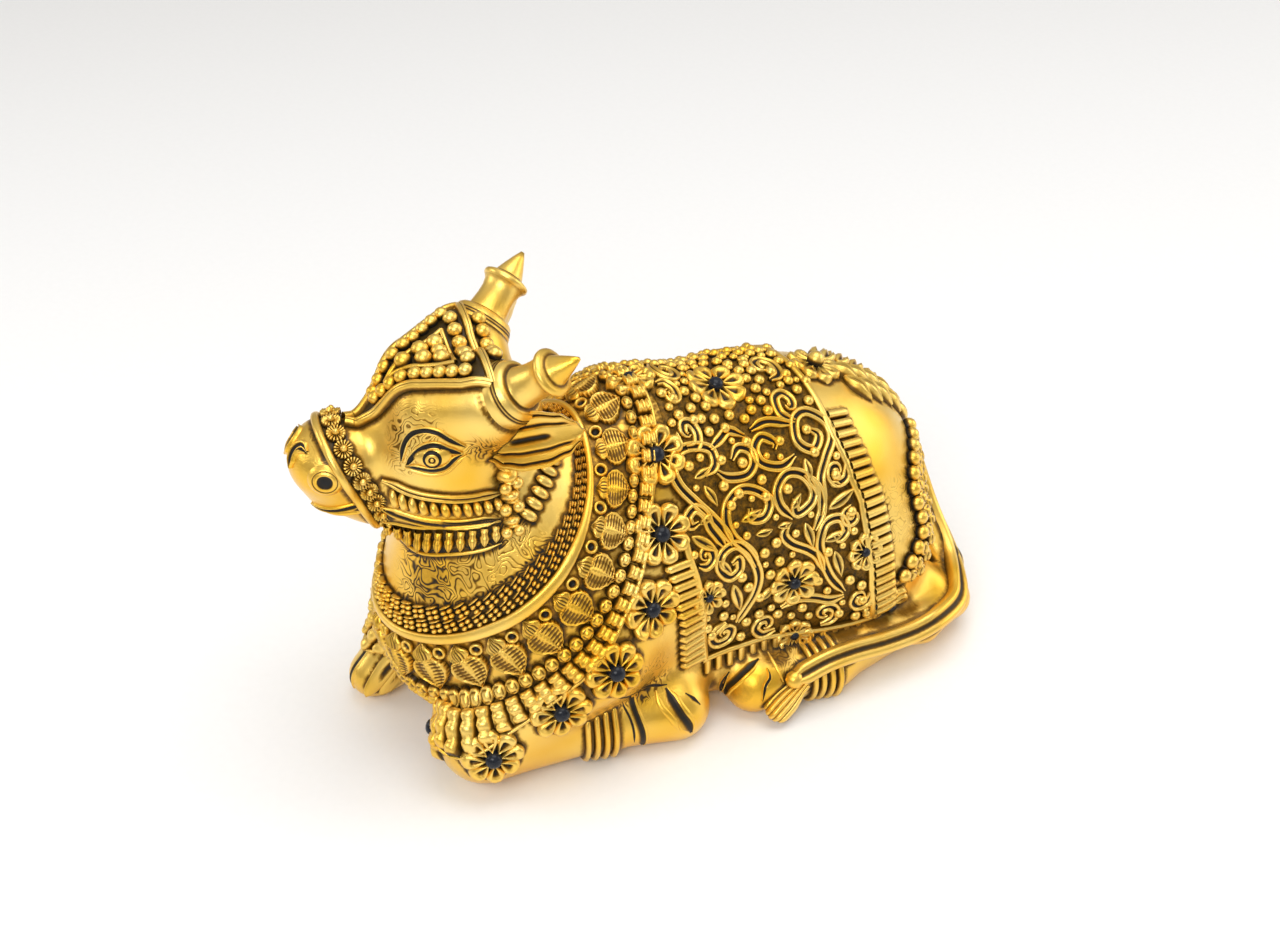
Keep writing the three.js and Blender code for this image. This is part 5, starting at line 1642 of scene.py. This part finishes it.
# %% Cheek and jaw straps
CHEEK = [(28.5, 16.6, -2.6), (22.7, 18.3, -5.3), (17.8, 20.8, -6.7), (8.3, 23.9, -8.5), (-2.1, 23.4, -10.7),
         (-9.5, 22.5, -11.8)]
TEETH_TOP = [(27.5, 16.5, -5.2), (17.8, 20.8, -8.6), (8.3, 23.8, -10.4), (-2.1, 23.6, -12.5),
             (-8.5, 22.6, -13.4)]
TEETH_LOW = [(25.5, 16, -12.6), (15.5, 21.4, -14.6), (5.7, 23.6, -16.2), (-4.5, 24.8, -17.1),
             (-9, 24.4, -17.2)]
JAW_TOP = [(29.5, 9.5, -22.5), (19.3, 17.4, -23), (9.8, 23.3, -21.9), (-0.1, 26.4, -21.6), (-7, 27, -21.4)]
JAW_LOW = [(29, 7, -27.5), (20.3, 16.9, -30.8), (11.1, 24.7, -28.9), (1.1, 28.6, -27.3), (-6, 29.2, -25.8)]
DOUBLE_RIDGE = symmetric((-1.7, -0.5, 0.8), (-1.5, 0.9, 0.3), (-1.0, 1.35, 0), (-0.4, 0.9, 0.4),
                         (0, 0.45, 1))


def tooth(u, v):
    """A plump oval, highest towards its outer end."""
    half = 0.5 * (1 - np.abs(2 * u - 1) ** 2.6) ** 0.5
    round_end = (1 - np.abs(2 * u - 1) ** 3) ** 0.6
    height = round_end * (0.75 + 0.25 * u) * np.sqrt(np.clip(1 - 0.95 * v ** 2, 0, 1))
    return half * v, u, height - 0.3 * past_edge(v), dark_edge(v, 0.72, 0.9)


POINTED_HALF = [(0, 0.36), (0.1, 0.42), (0.3, 0.34), (0.5, 0.5), (0.72, 0.42), (0.9, 0.2), (1, 0.03)]


def pointed_bead(u, v):
    """An upright bead with a square foot and a point, ribbed down its middle."""
    half = smooth_between(POINTED_HALF, u)
    waist = np.exp(-((u - 0.3) / 0.05) ** 2)
    ribs = 0.5 + 0.5 * np.cos(v * 1.5 * 2 * math.pi)
    height = (0.55 + 0.45 * np.sin(math.pi * u)) * (1 - v ** 4) * (0.8 + 0.2 * ribs) * (1 - 0.4 * waist)
    tarnish = np.maximum(np.maximum(0.5 * (1 - ribs), 0.6 * waist), dark_edge(v, 0.75, 0.9))
    return half * v, u, height - 0.4 * past_edge(v), tarnish


TOOTH, POINTED_BEAD = carved(tooth, 9, 9), carved(pointed_bead, 16, 11)
# Each row between two lines: the pattern, the upper and lower line, the pitch, width and height
FACE_ROWS = [(TOOTH, TEETH_TOP, TEETH_LOW, 3.5, 3.3, 3.3), (POINTED_BEAD, JAW_TOP, JAW_LOW, 3.7, 3.6, 3.3)]
JAW_LINE_GAP = (0, 0, 1.2)


def face_straps():
    straps = Relief()
    for side in (1, -1):
        lay_line(straps, CHEEK, DOUBLE_RIDGE, side)
        for pattern, top, low, pitch, width, height in FACE_ROWS:
            top, low = head_line(top, side), head_line(low, side)
            lay_rank(straps, pattern, top, low, row_of(top, 0, 1, pitch), width, height, head_and_neck)
        lay_line(straps, np.array(JAW_TOP) + JAW_LINE_GAP, FINE_RIDGE, side)
        lay_line(straps, np.array(JAW_LOW) - JAW_LINE_GAP, FINE_RIDGE, side)
    straps.piece("bridle_straps", polished)


face_straps()

# %% Ear beads and pillow straps
# Each tier of the drop under the ear: its place on the head and its radius
EAR_BELLS = [(-11.0, 21, 0.6, 3.9), (-11.2, 20.5, -5.2, 4.0), (-11.4, 22.3, -13.6, 3.5),
             (-10.4, 26.5, -21.0, 3.1)]
EAR_PAIRS = [(-11.4, 21, -9.7, 2.3), (-10.9, 24.5, -17.6, 2.2), (-10.0, 27.5, -24.4, 2.0)]
BELL_FLATNESS, BELL_HEIGHT = 0.68, 5.0
LIP_SHIFT, LIP_WIDTH, LIP_LENGTH, LIP_HEIGHT = 0.55, 0.72, 0.3, 4.6
PAIR_STEP, PAIR_LIFT = 1.02, 1.8
PILLOWS = [(-35, 3, -8), (-31, 9.5, -10.5), (-26.4, 16.5, -13.6), (-22.3, 21.6, -16.2),
           (-17.7, 25.4, -19.5), (-15, 27.4, -22)]
PILLOW_WIDTH, PILLOW_PITCH, PILLOW_FILL, PILLOW_HEIGHT = 6.6, 4.2, 0.95, 2.4
LOOK_ALONG = 0.02


def drop_tiers(relief, tiers, side, lay):
    """Lays each tier of the ear's drop at its place on the cheek or the neck."""
    for *local, radius in tiers:
        point, out = pulled_on(on_head([np.multiply(local, (1, side, 1))]), head_and_neck)
        lay(relief, point, frames_at(out, HEAD_AXES[2]), radius)


def lay_bell(relief, point, frame, radius):
    """A flat bead with a narrower lip under it."""
    relief.add_copies(BEAD, point, frame, (radius, radius * BELL_FLATNESS, BELL_HEIGHT))
    lip = (radius * LIP_WIDTH, radius * LIP_LENGTH, LIP_HEIGHT)
    relief.add_copies(BEAD, point - frame[:, 1] * radius * LIP_SHIFT, frame, lip)


def lay_pair(relief, point, frame, radius):
    """Two pearls side by side."""
    across, _, out = frame[0]
    for step in (-PAIR_STEP, PAIR_STEP):
        place = point + across * step * radius + out * PAIR_LIFT
        lay_pearls(relief, place, out[None], np.array([radius]))


def pillow_strap(relief, side):
    """A row of pillows across a line from behind the ear to the collar."""
    line = head_line(PILLOWS, side)
    t = row_of(line, 0, 1, PILLOW_PITCH)
    points, outs = line(t)
    ahead = line(np.clip(t + LOOK_ALONG, 0, 1))[0] - line(np.clip(t - LOOK_ALONG, 0, 1))[0]
    across = unit(np.cross(ahead, outs))
    starts = points - across * PILLOW_WIDTH / 2
    sizes = (PILLOW_PITCH * PILLOW_FILL, PILLOW_WIDTH, PILLOW_HEIGHT)
    relief.add_copies(TOOTH, starts, frames_at(outs, across), sizes, head_and_neck)


def ear_drops():
    drops = Relief()
    for side in (1, -1):
        drop_tiers(drops, EAR_BELLS, side, lay_bell)
        drop_tiers(drops, EAR_PAIRS, side, lay_pair)
        pillow_strap(drops, side)
    drops.piece("ear_drops", polished)


ear_drops()

# %% [markdown]
# ## The forehead plate
# A plate lies over the brow, wide between the horns and narrowing to the nose. It has a rolled rim,
# a straight bar across its top, pearls inside each edge, and a smaller framed triangle of larger
# pearls in the middle.

# %% The forehead plate
PLATE_HALF = [(-10, 24.0), (-2, 20.6), (6, 15.7), (14, 11.1), (18, 8.6), (22, 5.8), (28, 2.9), (35, 1.2)]
PLATE_BACK, PLATE_TIP = -10, 35
PLATE_RIM = [(-1.8, -0.6, 0.9), (-1.65, 1.5, 0.5), (-1.3, 2.4, 0.05), (-0.5, 2.7, 0), (-0.2, 2.3, 0.8),
             (0.1, 2.6, 0), (1.2, 2.3, 0.05), (1.65, 1.4, 0.5), (1.8, -0.6, 0.9)]
THIN_BAR = symmetric((-0.9, 0.0, 0.9), (-0.8, 1.3, 0.4), (-0.4, 1.8, 0))
INNER_FRAME = [(-2.2, 10.5), (-2.2, -10.5), (19.0, 0)]
BIG_PEARLS = [(1.4, 5.3), (1.4, -5.3), (1.4, 0), (6.9, 2.8), (6.9, -2.8), (12.2, 0)]
BIG_PEARL, EDGE_PEARL, BAR_PEARL = 3.0, 2.45, 2.6
BIG_PEARL_LIFT, EDGE_PEARL_LIFT = 0.9, 0.8
SHEET_LIFT, SHEET_TARNISH = 0.5, 0.8
PLATE_RIM_PLACES, BAR_PLACES, FRAME_PLACES, BAR_SHIFT, BAR_SWELL = 70, 40, 30, 0.5, 0.8
# The pearls inside each edge: how far in, where they start and end and their pitch
EDGE_INSET, EDGE_START, EDGE_END, EDGE_PITCH = 3.9, PLATE_BACK + 3.7, 24, 4.6
# The rows of pearls in front of and behind the bar: place, reach to each side, pitch and lift
BAR_ROWS = [(PLATE_BACK + 3.8, 15.5, 4.7, 0.9), (PLATE_BACK - 4.4, 14, 4.9, 0.2)]
BROW_START = 4


def on_brow(forward, left):
    """A place on top of the head, forward and left of its middle."""
    forward, left = np.broadcast_arrays(np.asarray(forward, float), np.asarray(left, float))
    starts = np.stack([forward, left, 0 * left + BROW_START], -1)
    return on_face(starts, (0, 0, 1))


def plate_half(forward):
    return np.interp(forward, *np.transpose(PLATE_HALF))


def lay_row_on_brow(plate, forward, left, radius, lift):
    points, outs = on_brow(forward, left)
    lay_pearls(plate, points + outs * lift, outs, np.full(len(points), radius))


def plate_sheet(plate):
    rows, columns = 46, 21
    forward = np.repeat(np.linspace(PLATE_BACK, PLATE_TIP - 3, rows), columns)
    share = np.tile(np.linspace(-1, 1, columns), rows)
    points, outs = on_brow(forward, share * plate_half(forward))
    plate.add(points + outs * SHEET_LIFT, [sheet_faces(rows, columns)[:, ::-1]], SHEET_TARNISH)


def plate_edge(plate, side):
    """The rolled rim of one side, with its pearls inside it."""
    forward = np.linspace(PLATE_BACK, PLATE_TIP, PLATE_RIM_PLACES)
    lay_band(plate, *on_brow(forward, side * plate_half(forward)), PLATE_RIM)
    inset = lambda forward: side * (plate_half(forward) - EDGE_INSET)
    forward = row_of(lambda f: on_brow(f, inset(f)), EDGE_START, EDGE_END, EDGE_PITCH)
    lay_row_on_brow(plate, forward, inset(forward), EDGE_PEARL, EDGE_PEARL_LIFT)


def plate_bar(plate):
    """The bar across the top, with a row of pearls on either side of it."""
    left = np.linspace(-1, 1, BAR_PLACES) * plate_half(PLATE_BACK)
    lay_band(plate, *on_brow(PLATE_BACK - BAR_SHIFT, left), PLATE_RIM, swell=BAR_SWELL)
    for forward, reach, pitch, lift in BAR_ROWS:
        left = row_of(lambda left: on_brow(forward, left), -reach, reach, pitch)
        lay_row_on_brow(plate, forward, left, BAR_PEARL, lift)


def forehead_plate():
    plate = Relief()
    plate_sheet(plate)
    for side in (1, -1):
        plate_edge(plate, side)
    plate_bar(plate)
    for start, end in zip(INNER_FRAME, INNER_FRAME[1:] + INNER_FRAME[:1]):
        lay_band(plate, *on_brow(*np.linspace(start, end, FRAME_PLACES).T), THIN_BAR)
    lay_row_on_brow(plate, *np.transpose(BIG_PEARLS), BIG_PEARL, BIG_PEARL_LIFT)
    plate.piece("forehead_plate", polished)


forehead_plate()

# %% [markdown]
# ## Horns and ears
# Each horn is turned work: a thick ring at the root, a waisted drum, a lip and a plain point. Each
# ear is a leaf standing out behind it, with a rolled edge, two grooves that follow its outline and
# one down its middle.

# %% The horns
HORN_ROOT, HORN_TIP = (-17, 22, 25), (-37, 35.5, 41)
# Radius, share of the length from root to tip, and tarnish
HORN_PROFILE = [
    (8.4, -0.30, 0.6), (10.2, -0.25, 0.2), (11.1, -0.16, 0), (11.3, -0.04, 0), (11.0, 0.0, 0.4),
    (10.8, 0.01, 0.95), (10.7, 0.03, 0.3), (10.5, 0.05, 0.95), (10.3, 0.06, 0.1), (9.9, 0.10, 0),
    (9.0, 0.13, 0.1), (8.2, 0.135, 0.55), (7.2, 0.14, 0.8), (6.9, 0.16, 0.2), (6.7, 0.2, 0),
    (6.25, 0.32, 0), (6.2, 0.42, 0.05), (6.6, 0.5, 0.2), (7.3, 0.54, 0.35), (7.9, 0.56, 0.05),
    (8.1, 0.585, 0), (7.9, 0.61, 0.0), (6.9, 0.63, 0.1), (5.3, 0.645, 0.7), (4.9, 0.66, 0.3),
    (4.6, 0.69, 0.0), (3.5, 0.78, 0), (1.9, 0.9, 0), (0.7, 0.98, 0)]
HORN_SIDES = 40


def horns():
    horns = Relief()
    for side in (1, -1):
        root, tip = on_head(np.multiply([HORN_ROOT, HORN_TIP], (1, side, 1)))
        length = np.linalg.norm(tip - root)
        profile = [(radius, share * length, dark) for radius, share, dark in HORN_PROFILE]
        frames = frames_at(((tip - root) / length)[None], HEAD_AXES[2])
        horns.add_copies(turned_pattern(profile, HORN_SIDES), root[None], frames, 1)
    horns.piece("horns", polished)


horns()

# %% The ears
EAR_ROOT, EAR_TIP = (-5.5, 19.5, 4.4), (-34.4, 43.4, 19.8)
EAR_HALF = [(0, 0.12), (0.06, 0.45), (0.18, 0.8), (0.36, 1.0), (0.58, 0.99), (0.8, 0.78), (0.94, 0.42),
            (1, 0.05)]
EAR_HALF_WIDTH, EAR_DEPTH, EAR_WAY = 9.4, 4.2, (0.56, 0.48, 0.22)
# Each groove inside the rim: how far in from the edge, its width, and where it starts and ends
EAR_GROOVES = [(0.2, 0.045, 0.04, 0.96), (0.56, 0.05, 0.12, 0.84), (1.0, 0.11, 0.26, 0.64)]


def ear_half(u):
    return EAR_HALF_WIDTH * smooth_between(EAR_HALF, u)


def ear_face(u, v):
    """The cupped front of the ear, with a rolled edge and its grooves."""
    inward = 1 - np.abs(v)
    grooves = 0
    for middle, width, start, end in EAR_GROOVES:
        along = step_up(u, start - 0.06, start + 0.04) * (1 - step_up(u, end - 0.05, end + 0.06))
        grooves = np.maximum(grooves, np.exp(-((inward - middle) / width) ** 2) * along)
    cup = 2.6 * np.abs(v) ** 2.5 - 1.2
    return ear_half(u) * v, u, cup - 1.3 * grooves + 0.5 * step_up(inward, 0.02, 0.1), 1.1 * grooves


def ear_back(u, v):
    """The rounded back of the ear."""
    swell = EAR_DEPTH * (0.35 + 0.65 * ear_half(u) / EAR_HALF_WIDTH) * np.sqrt(np.clip(1 - v ** 2, 0, 1))
    return ear_half(u) * v, u, 1.4 - swell, 0 * u


def turned_over(points, faces, tarnish):
    """A pattern whose faces look the other way."""
    return points, [face[:, ::-1] for face in faces], tarnish


EAR_FACE, EAR_BACK = carved(ear_face, 44, 61), turned_over(*carved(ear_back, 24, 21))


def ears():
    ears = Relief()
    for side in (1, -1):
        root, tip = on_head(np.multiply([EAR_ROOT, EAR_TIP], (1, side, 1)))
        length = np.linalg.norm(tip - root)
        out = np.multiply(EAR_WAY, (1, side, 1)) @ HEAD_AXES
        along = (tip - root) / length
        across = np.cross(along, out)
        across /= np.linalg.norm(across)
        frame = np.stack([across, along, np.cross(across, along)])[None]
        for pattern in (EAR_FACE, EAR_BACK):
            ears.add_copies(pattern, root[None], frame, (1, length, 1))
    ears.piece("ears", polished)


ears()

# %% [markdown]
# ## Legs and tail
# The bull wears an anklet of four ridges on the folded foreleg and on each hind leg. The rings are
# laid where rays from the middle of the leg leave its skin, but no further out than a little over
# its radius, so that the inner part of each ring stays inside the body.

# %% Anklets
# Two places on the leg's middle line, at the first and the last ridge, and the leg's radius there
ANKLETS = [((36.0, -54.5, 13.1), (38.2, -44.6, 13.0), 11.4), ((49.2, 31, 10.6), (49.5, 41, 10.4), 10.6),
           ((-49.2, 31, 10.6), (-49.5, 41, 10.4), 10.6)]
RIDGES, RING_PLACES, RING_CLEARANCE = 4, 72, 2.0
ANKLET_RIDGE = [(-1.6, -0.8, 0.95), (-1.25, 0.6, 0.7), (-0.7, 1.7, 0.05), (0, 2.1, 0.0), (0.6, 1.6, 0.05),
                (1.2, 0.6, 0.5), (1.6, -0.8, 0.95)]


def legs_on_ground(points):
    return np.maximum(np.minimum(legs(points), trunk(points)), -points[:, 2])


def ring_on_leg(middle, axis, radius):
    """Places round a leg, on its skin or at most a little over its radius, and their directions."""
    first = np.cross(axis, (0, 0, 1))
    first /= np.linalg.norm(first)
    turns = np.linspace(0, 2 * math.pi, RING_PLACES, endpoint=False)[:, None]
    ways = first * np.cos(turns) + np.cross(first, axis) * np.sin(turns)
    points, _ = land(middle, ways, legs_on_ground)
    reach = np.minimum(np.linalg.norm(points - middle, axis=1), radius + RING_CLEARANCE)
    return middle + ways * reach[:, None], ways


def anklets():
    rings = Relief()
    for start, end, radius in ANKLETS:
        start, end = np.array(start, float), np.array(end, float)
        axis = (end - start) / np.linalg.norm(end - start)
        for share in np.linspace(0, 1, RIDGES):
            points, outs = ring_on_leg(start + (end - start) * share, axis, radius)
            lay_band(rings, points, outs, ANKLET_RIDGE, closed=True)
    rings.piece("anklets", polished)


anklets()

# %% [markdown]
# The hooves are cloven and the skin folds above them. Each fold or slit is a dark line through a few
# places on the skin. A broad one is a valley between two lips, and a narrow one is a small ridge.

# %% Folds and slits of the hooves
VALLEY = [(-2.0, -0.3, 0.2), (-1.5, 0.35, 0.05), (-1.0, 0.45, 0.0), (-0.7, 0.2, 0.8), (0, 0.05, 1),
          (0.7, 0.15, 0.9), (1.2, 0.2, 0.5), (2.0, -0.3, 0.3)]
GROOVE = symmetric((-1.1, -0.3, 0.3), (-0.7, 0.12, 0.5), (-0.4, 0.1, 1))
# Each mark: its stops, its section and how much that is widened
FORE_MARKS = [
    ([(52, -50, 37), (49, -42, 32), (47.4, -36.4, 29.3), (46.1, -24.6, 25.6)], GROOVE, 0.9),
    ([(47.5, -42, 31), (46.9, -39.5, 26.5), (48.8, -38.6, 19.8), (51.6, -37.5, 12.6), (51, -37, 3)],
     VALLEY, 1.1),
    ([(48.5, -43.5, 27), (48.1, -41.5, 20.6), (50.3, -40.8, 15.8), (52, -40.6, 8)], GROOVE, 0.6),
    ([(46.3, -29.4, 25.2), (50.3, -29.4, 20.8), (53.5, -27.5, 17.3), (56, -25, 11)], FINE_RIDGE, 1.8),
    ([(46.6, -25.5, 24.8), (51.0, -24.7, 21.1), (54.1, -23.4, 17.4), (56, -21.3, 13.0), (56.5, -20, 8)],
     VALLEY, 1.5),
    ([(50.4, -19.7, 22.7), (52.2, -17.7, 20.9), (53.7, -15.4, 17.9)], GROOVE, 1.2),
]
HIND_MARKS = [
    ([(47.4, 13.0, 22.2), (48.8, 7.3, 20.6), (48.2, 2.9, 17.0), (46, 0.8, 12.6), (44, 0, 7)], VALLEY, 1.2),
    ([(44, 3.5, 18), (43.5, 1.0, 13), (42, 0.5, 8)], BLACK_LINE, 0.9),
    ([(51.4, 13.8, 20.5), (54.2, 13.4, 18.4), (55.5, 10.6, 16.3), (56, 9, 11)], BLACK_LINE, 0.6),
    ([(46, 17.5, 22), (52, 17.5, 20.5), (56.5, 18, 16)], FINE_RIDGE, 1.2),
]
FAR_HOOF_MARKS = [
    ([(-31, -99, 20.5), (-31, -108, 17), (-31, -113, 9), (-31, -114, 3)], VALLEY, 0.8),
    ([(-40.5, -100, 8), (-38, -98.5, 16), (-31, -97, 21), (-24, -98.5, 16), (-21.5, -100, 8)],
     BLACK_LINE, 0.7),
]


def lay_mark(relief, stops, profile, swell, side):
    line = curve_through(np.multiply(stops, (side, 1, 1)), HEAD_STEP)
    points, outs = pulled_on(line, figure)
    lay_band(relief, points, outs, profile, tapering(len(line), *TAPER) * swell)


def hooves():
    marks = Relief()
    for family, sides in ((FORE_MARKS, (1,)), (HIND_MARKS, (1, -1)), (FAR_HOOF_MARKS, (1,))):
        for mark in family:
            for side in sides:
                lay_mark(marks, *mark, side)
    marks.piece("hooves", polished, gathers_patina=False)


hooves()

# %% [markdown]
# The tail comes round beside the hind leg and over its anklet, with two ridges along it and a groove
# between them, and ends in a tuft of ribs.

# %% The tail
# Along its middle: a place, and the direction its back faces there
TAIL_COURSE = [(4, 107, 62, 0, 0.9, 0.4), (13, 112.5, 38, 0.2, 0.9, 0.4),
               (29, 112.5, 23, 0.35, 0.75, 0.55), (44, 105.3, 20, 0.6, 0.4, 0.65),
               (52, 98.5, 18.6, 0.7, 0.2, 0.65), (57.4, 86, 18.6, 0.75, 0, 0.65),
               (58.6, 75, 17.6, 0.75, 0, 0.65), (58.8, 60.5, 18.2, 0.75, 0, 0.65),
               (58.4, 46.5, 19.6, 0.75, 0, 0.65), (58.4, 35, 19.8, 0.75, 0, 0.65),
               (58.2, 26, 18, 0.75, -0.1, 0.65), (58, 21.5, 16.8, 0.75, -0.3, 0.6)]
TAIL_PROFILE = symmetric((-3.2, -3.0, 0.9), (-3.5, -1.0, 0.4), (-3.3, 0.8, 0.1), (-2.5, 2.1, 0.0),
                         (-1.4, 2.3, 0.0), (-0.6, 1.6, 0.7), (0, 1.35, 0.9))
TAIL_BREADTH, TAIL_END, TAIL_STEP, TAIL_TAPER = 1.2, (3.5, 3.5, 2.8), 1.2, (0.6, 4)
TUFT_ROOT, TUFT_END, TUFT_OUT = (58.0, 25.5, 14.5), (60.0, 10.5, 5.0), (0.72, -0.3, 0.62)
TUFT_WIDTH, TUFT_THICKNESS, TUFT_RIBS = 11.0, 3.6, 5


def ribbed_tuft(u, v):
    """A bundle of locks: it widens towards its end, where each lock is round."""
    rib = np.abs(np.cos(v * TUFT_RIBS * math.pi / 2)) ** 0.7
    half = 0.5 * (0.66 + 0.34 * step_up(u, 0, 0.7))
    end = np.sqrt(np.clip(1 - np.maximum((u - 0.84) / 0.16, 0) ** 2, 0, 1))
    height = np.sqrt(np.clip(1 - v ** 2, 0, 1)) * (0.72 + 0.28 * rib) * (0.15 + 0.85 * end) - 0.3
    along = u * (1 - 0.14 * v ** 2) + 0.03 * rib * (u > 0.9)
    return half * v * (0.9 + 0.1 * end), along, height, 1 - 1.5 * rib


TUFT = carved(ribbed_tuft, 30, 71)


def tail_piece():
    trimmings = Relief()
    course = curve_through(TAIL_COURSE, TAIL_STEP)
    outs = unit(course[:, 3:])
    swell = tapering(len(course), *TAIL_TAPER) * TAIL_BREADTH
    lay_band(trimmings, course[:, :3], outs, TAIL_PROFILE, swell)
    trimmings.add_copies(BEAD, course[-1:, :3], frames_at(outs[-1:], (0, 1, 0)), TAIL_END)
    root, end = np.array(TUFT_ROOT), np.array(TUFT_END)
    out = np.array(TUFT_OUT) / np.linalg.norm(TUFT_OUT)
    frame = frames_at(out[None], end - root)
    size = (TUFT_WIDTH, np.linalg.norm(end - root), TUFT_THICKNESS)
    trimmings.add_copies(TUFT, root[None], frame, size)
    trimmings.piece("tail_tuft", polished)


tail_piece()

# %% [markdown]
# ## The body's skin, its patina and painted shade
# The whole skin is one piece, as the casting is. It is made last, because patina gathers round the
# foot of everything laid on it. Three things darken a place: a hollow of the form, an ornament close
# by, and a few patches. Seven of the patches are painted shade, on the thigh between the cloth's hem
# and the tail and on the throat under the head; the others are darker brown places. A second value
# marks the bare places where short hair was engraved.

# %% Where patina, painted shade and hair are
CAVITY_REACH, FOOT_REACH, FOOT_DARKNESS = 3.0, 1.5, 0.85
# Centre and radius of each patch in millimetres, and how dark it is: seven are painted shade, the rest
# darker brown places
SHADE_AND_DARK_PATCHES = [((50, 5, 14), 8, 0.34), ((47, -35, 27), 6, 0.42), ((45, -40, 31), 7, 0.35),
           # On the next line the last two patches, and on the line after it all three, are painted shadow on
           # the thigh between the cloth's hem and the tail
           ((51, -46, 17), 5, 0.2), ((49, 76, 22), 9, 0.55), ((50, 62, 22), 9, 0.6),
           ((50, 48, 22), 9, 0.6), ((50, 36, 21), 8, 0.6), ((48, 20, 22), 8, 0.55),
           # On the next line the first two patches are painted shade on the throat, under the head
           ((16, -99, 80), 12, 0.36), ((24, -91, 85), 9, 0.3), ((56, -24, 18), 5, 0.3),
           (on_head((22, 14, 14)), 7, 0.3), (on_head((0, 20, 18)), 9, 0.26), (on_head((-4, 24, 6)), 8, 0.3)]
# Centre and radius of each engraved place, and how strong the hair is there
HAIR = [(on_head((15, 19, 17)), 13, 1.0), (on_head((-6, 22, 12)), 11, 1.0), (on_head((20, 18, 6)), 9, 0.8),
        ((30, -76, 88), 22, 0.9), ((14, -98, 80), 20, 1.0), ((46, -36, 34), 18, 0.8),
        ((40, 78, 62), 22, 0.6), ((50, 30, 14), 20, 0.4), (on_head((45, 8, 8)), 14, 0.3)]
# A hollow darkens as it gets this deep, by this much, and not down on the ground
HOLLOW_RANGE, HOLLOW_DARKNESS, GROUND_CLEARANCE = (0.12, 0.6), 0.8, 1.5
SPOT_CORE = 0.45


def soft_spots(points, spots):
    """The strongest of some round spots at each point, fading out at the rim."""
    total = np.zeros(len(points))
    for middle, radius, strength in spots:
        near = np.linalg.norm(points - middle, axis=1) / radius
        total = np.maximum(total, strength * (1 - step_up(near, SPOT_CORE, 1)))
    return total


def skin_patina_and_shade(points):
    outs = slopes(points, figure)
    cavity = 1 - figure(points + CAVITY_REACH * outs) / CAVITY_REACH
    hollow = HOLLOW_DARKNESS * step_up(cavity, *HOLLOW_RANGE) * (points[:, 2] > GROUND_CLEARANCE)
    to_ornament = distance_to_nearest(np.concatenate(Relief.laid), points)
    foot = FOOT_DARKNESS * np.exp(-(to_ornament / FOOT_REACH) ** 2)
    # The patches add painted shade on the thigh and the throat, and darker brown places elsewhere
    return np.maximum(np.maximum(hollow, foot), soft_spots(points, SHADE_AND_DARK_PATCHES))


def body_piece():
    skin = Relief()
    skin.add(skin_points, [skin_faces], skin_patina_and_shade(skin_points))
    body = skin.piece("body", polished)
    keep_value(body.data, "hair", soft_spots(skin_points, HAIR))
    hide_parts("nandi_bull")


body_piece()

# %% [markdown]
# ## Floor and light
# A plain pale floor and large soft lights. Polished metal mirrors its surroundings, so the world is
# not one flat white: it is bright overhead and dimmer and warmer near the horizon, which gives the
# gold its dark and bright bands.

# %% The floor
FLOOR_REACH, FIBRE_SCALE, FLOOR_ROUGHNESS, FLOOR_TONES = 3.0, 300.0, 0.42, (0.90, 0.93)


def pale_floor():
    mesh = bpy.data.meshes.new("floor")
    corners = [(-1, -1, 0), (1, -1, 0), (1, 1, 0), (-1, 1, 0)]
    mesh.from_pydata([(x * FLOOR_REACH, y * FLOOR_REACH, z) for x, y, z in corners], [], [(0, 1, 2, 3)])
    floor = in_scene("floor", mesh)
    material, tree, shader = new_material("pale paper")
    tone = ramp(tree, noise(tree, FIBRE_SCALE), 0.0, 1.0, *FLOOR_TONES)
    feed(tree, shader, Base_Color=tone, Roughness=FLOOR_ROUGHNESS)
    mesh.materials.append(material)


pale_floor()

# %% Lights
MIDDLE = (0, 0, 0.06)
# Each light: its place, its width and height in metres, and its watts
SOFTBOXES = {"key": ((0.75, -0.75, 0.9), (0.7, 0.5), 7.5),
             "top": ((0.1, 0.15, 1.2), (0.9, 0.9), 7),
             "side": ((-0.6, -0.9, 0.5), (0.5, 0.4), 2),
             "back": ((0.35, 1.25, 0.5), (1.2, 0.7), 5)}
HORIZON, ZENITH, ZENITH_HEIGHT, SKY_STRENGTH = (0.42, 0.38, 0.32, 1), (1, 0.98, 0.95, 1), 0.7, 0.55


def softbox(name, place, size, watts):
    """A rectangle of light that faces the middle of the figure."""
    data = bpy.data.lights.new(name, "AREA")
    data.shape, data.energy = "RECTANGLE", watts
    data.size, data.size_y = size
    back = np.subtract(place, MIDDLE)
    back /= np.linalg.norm(back)
    right = np.cross([0, 0, 1], back)
    right /= np.linalg.norm(right)
    stand(in_scene(name, data), right, np.cross(back, right), back, place)


for name, settings in SOFTBOXES.items():
    softbox(name, *settings)

world = bpy.data.worlds.new("studio")
bpy.context.scene.world = world
world.use_nodes = True
sky = world.node_tree
way = add_node(sky, "ShaderNodeTexCoord").outputs["Generated"]
height = add_node(sky, "ShaderNodeSeparateXYZ", Vector=way).outputs["Z"]
rise = ramp(sky, height, 0.0, ZENITH_HEIGHT)
feed(sky, sky.nodes["Background"], Color=mixed(sky, rise, HORIZON, ZENITH), Strength=SKY_STRENGTH)
bpy.context.scene.view_settings.view_transform = "Standard"
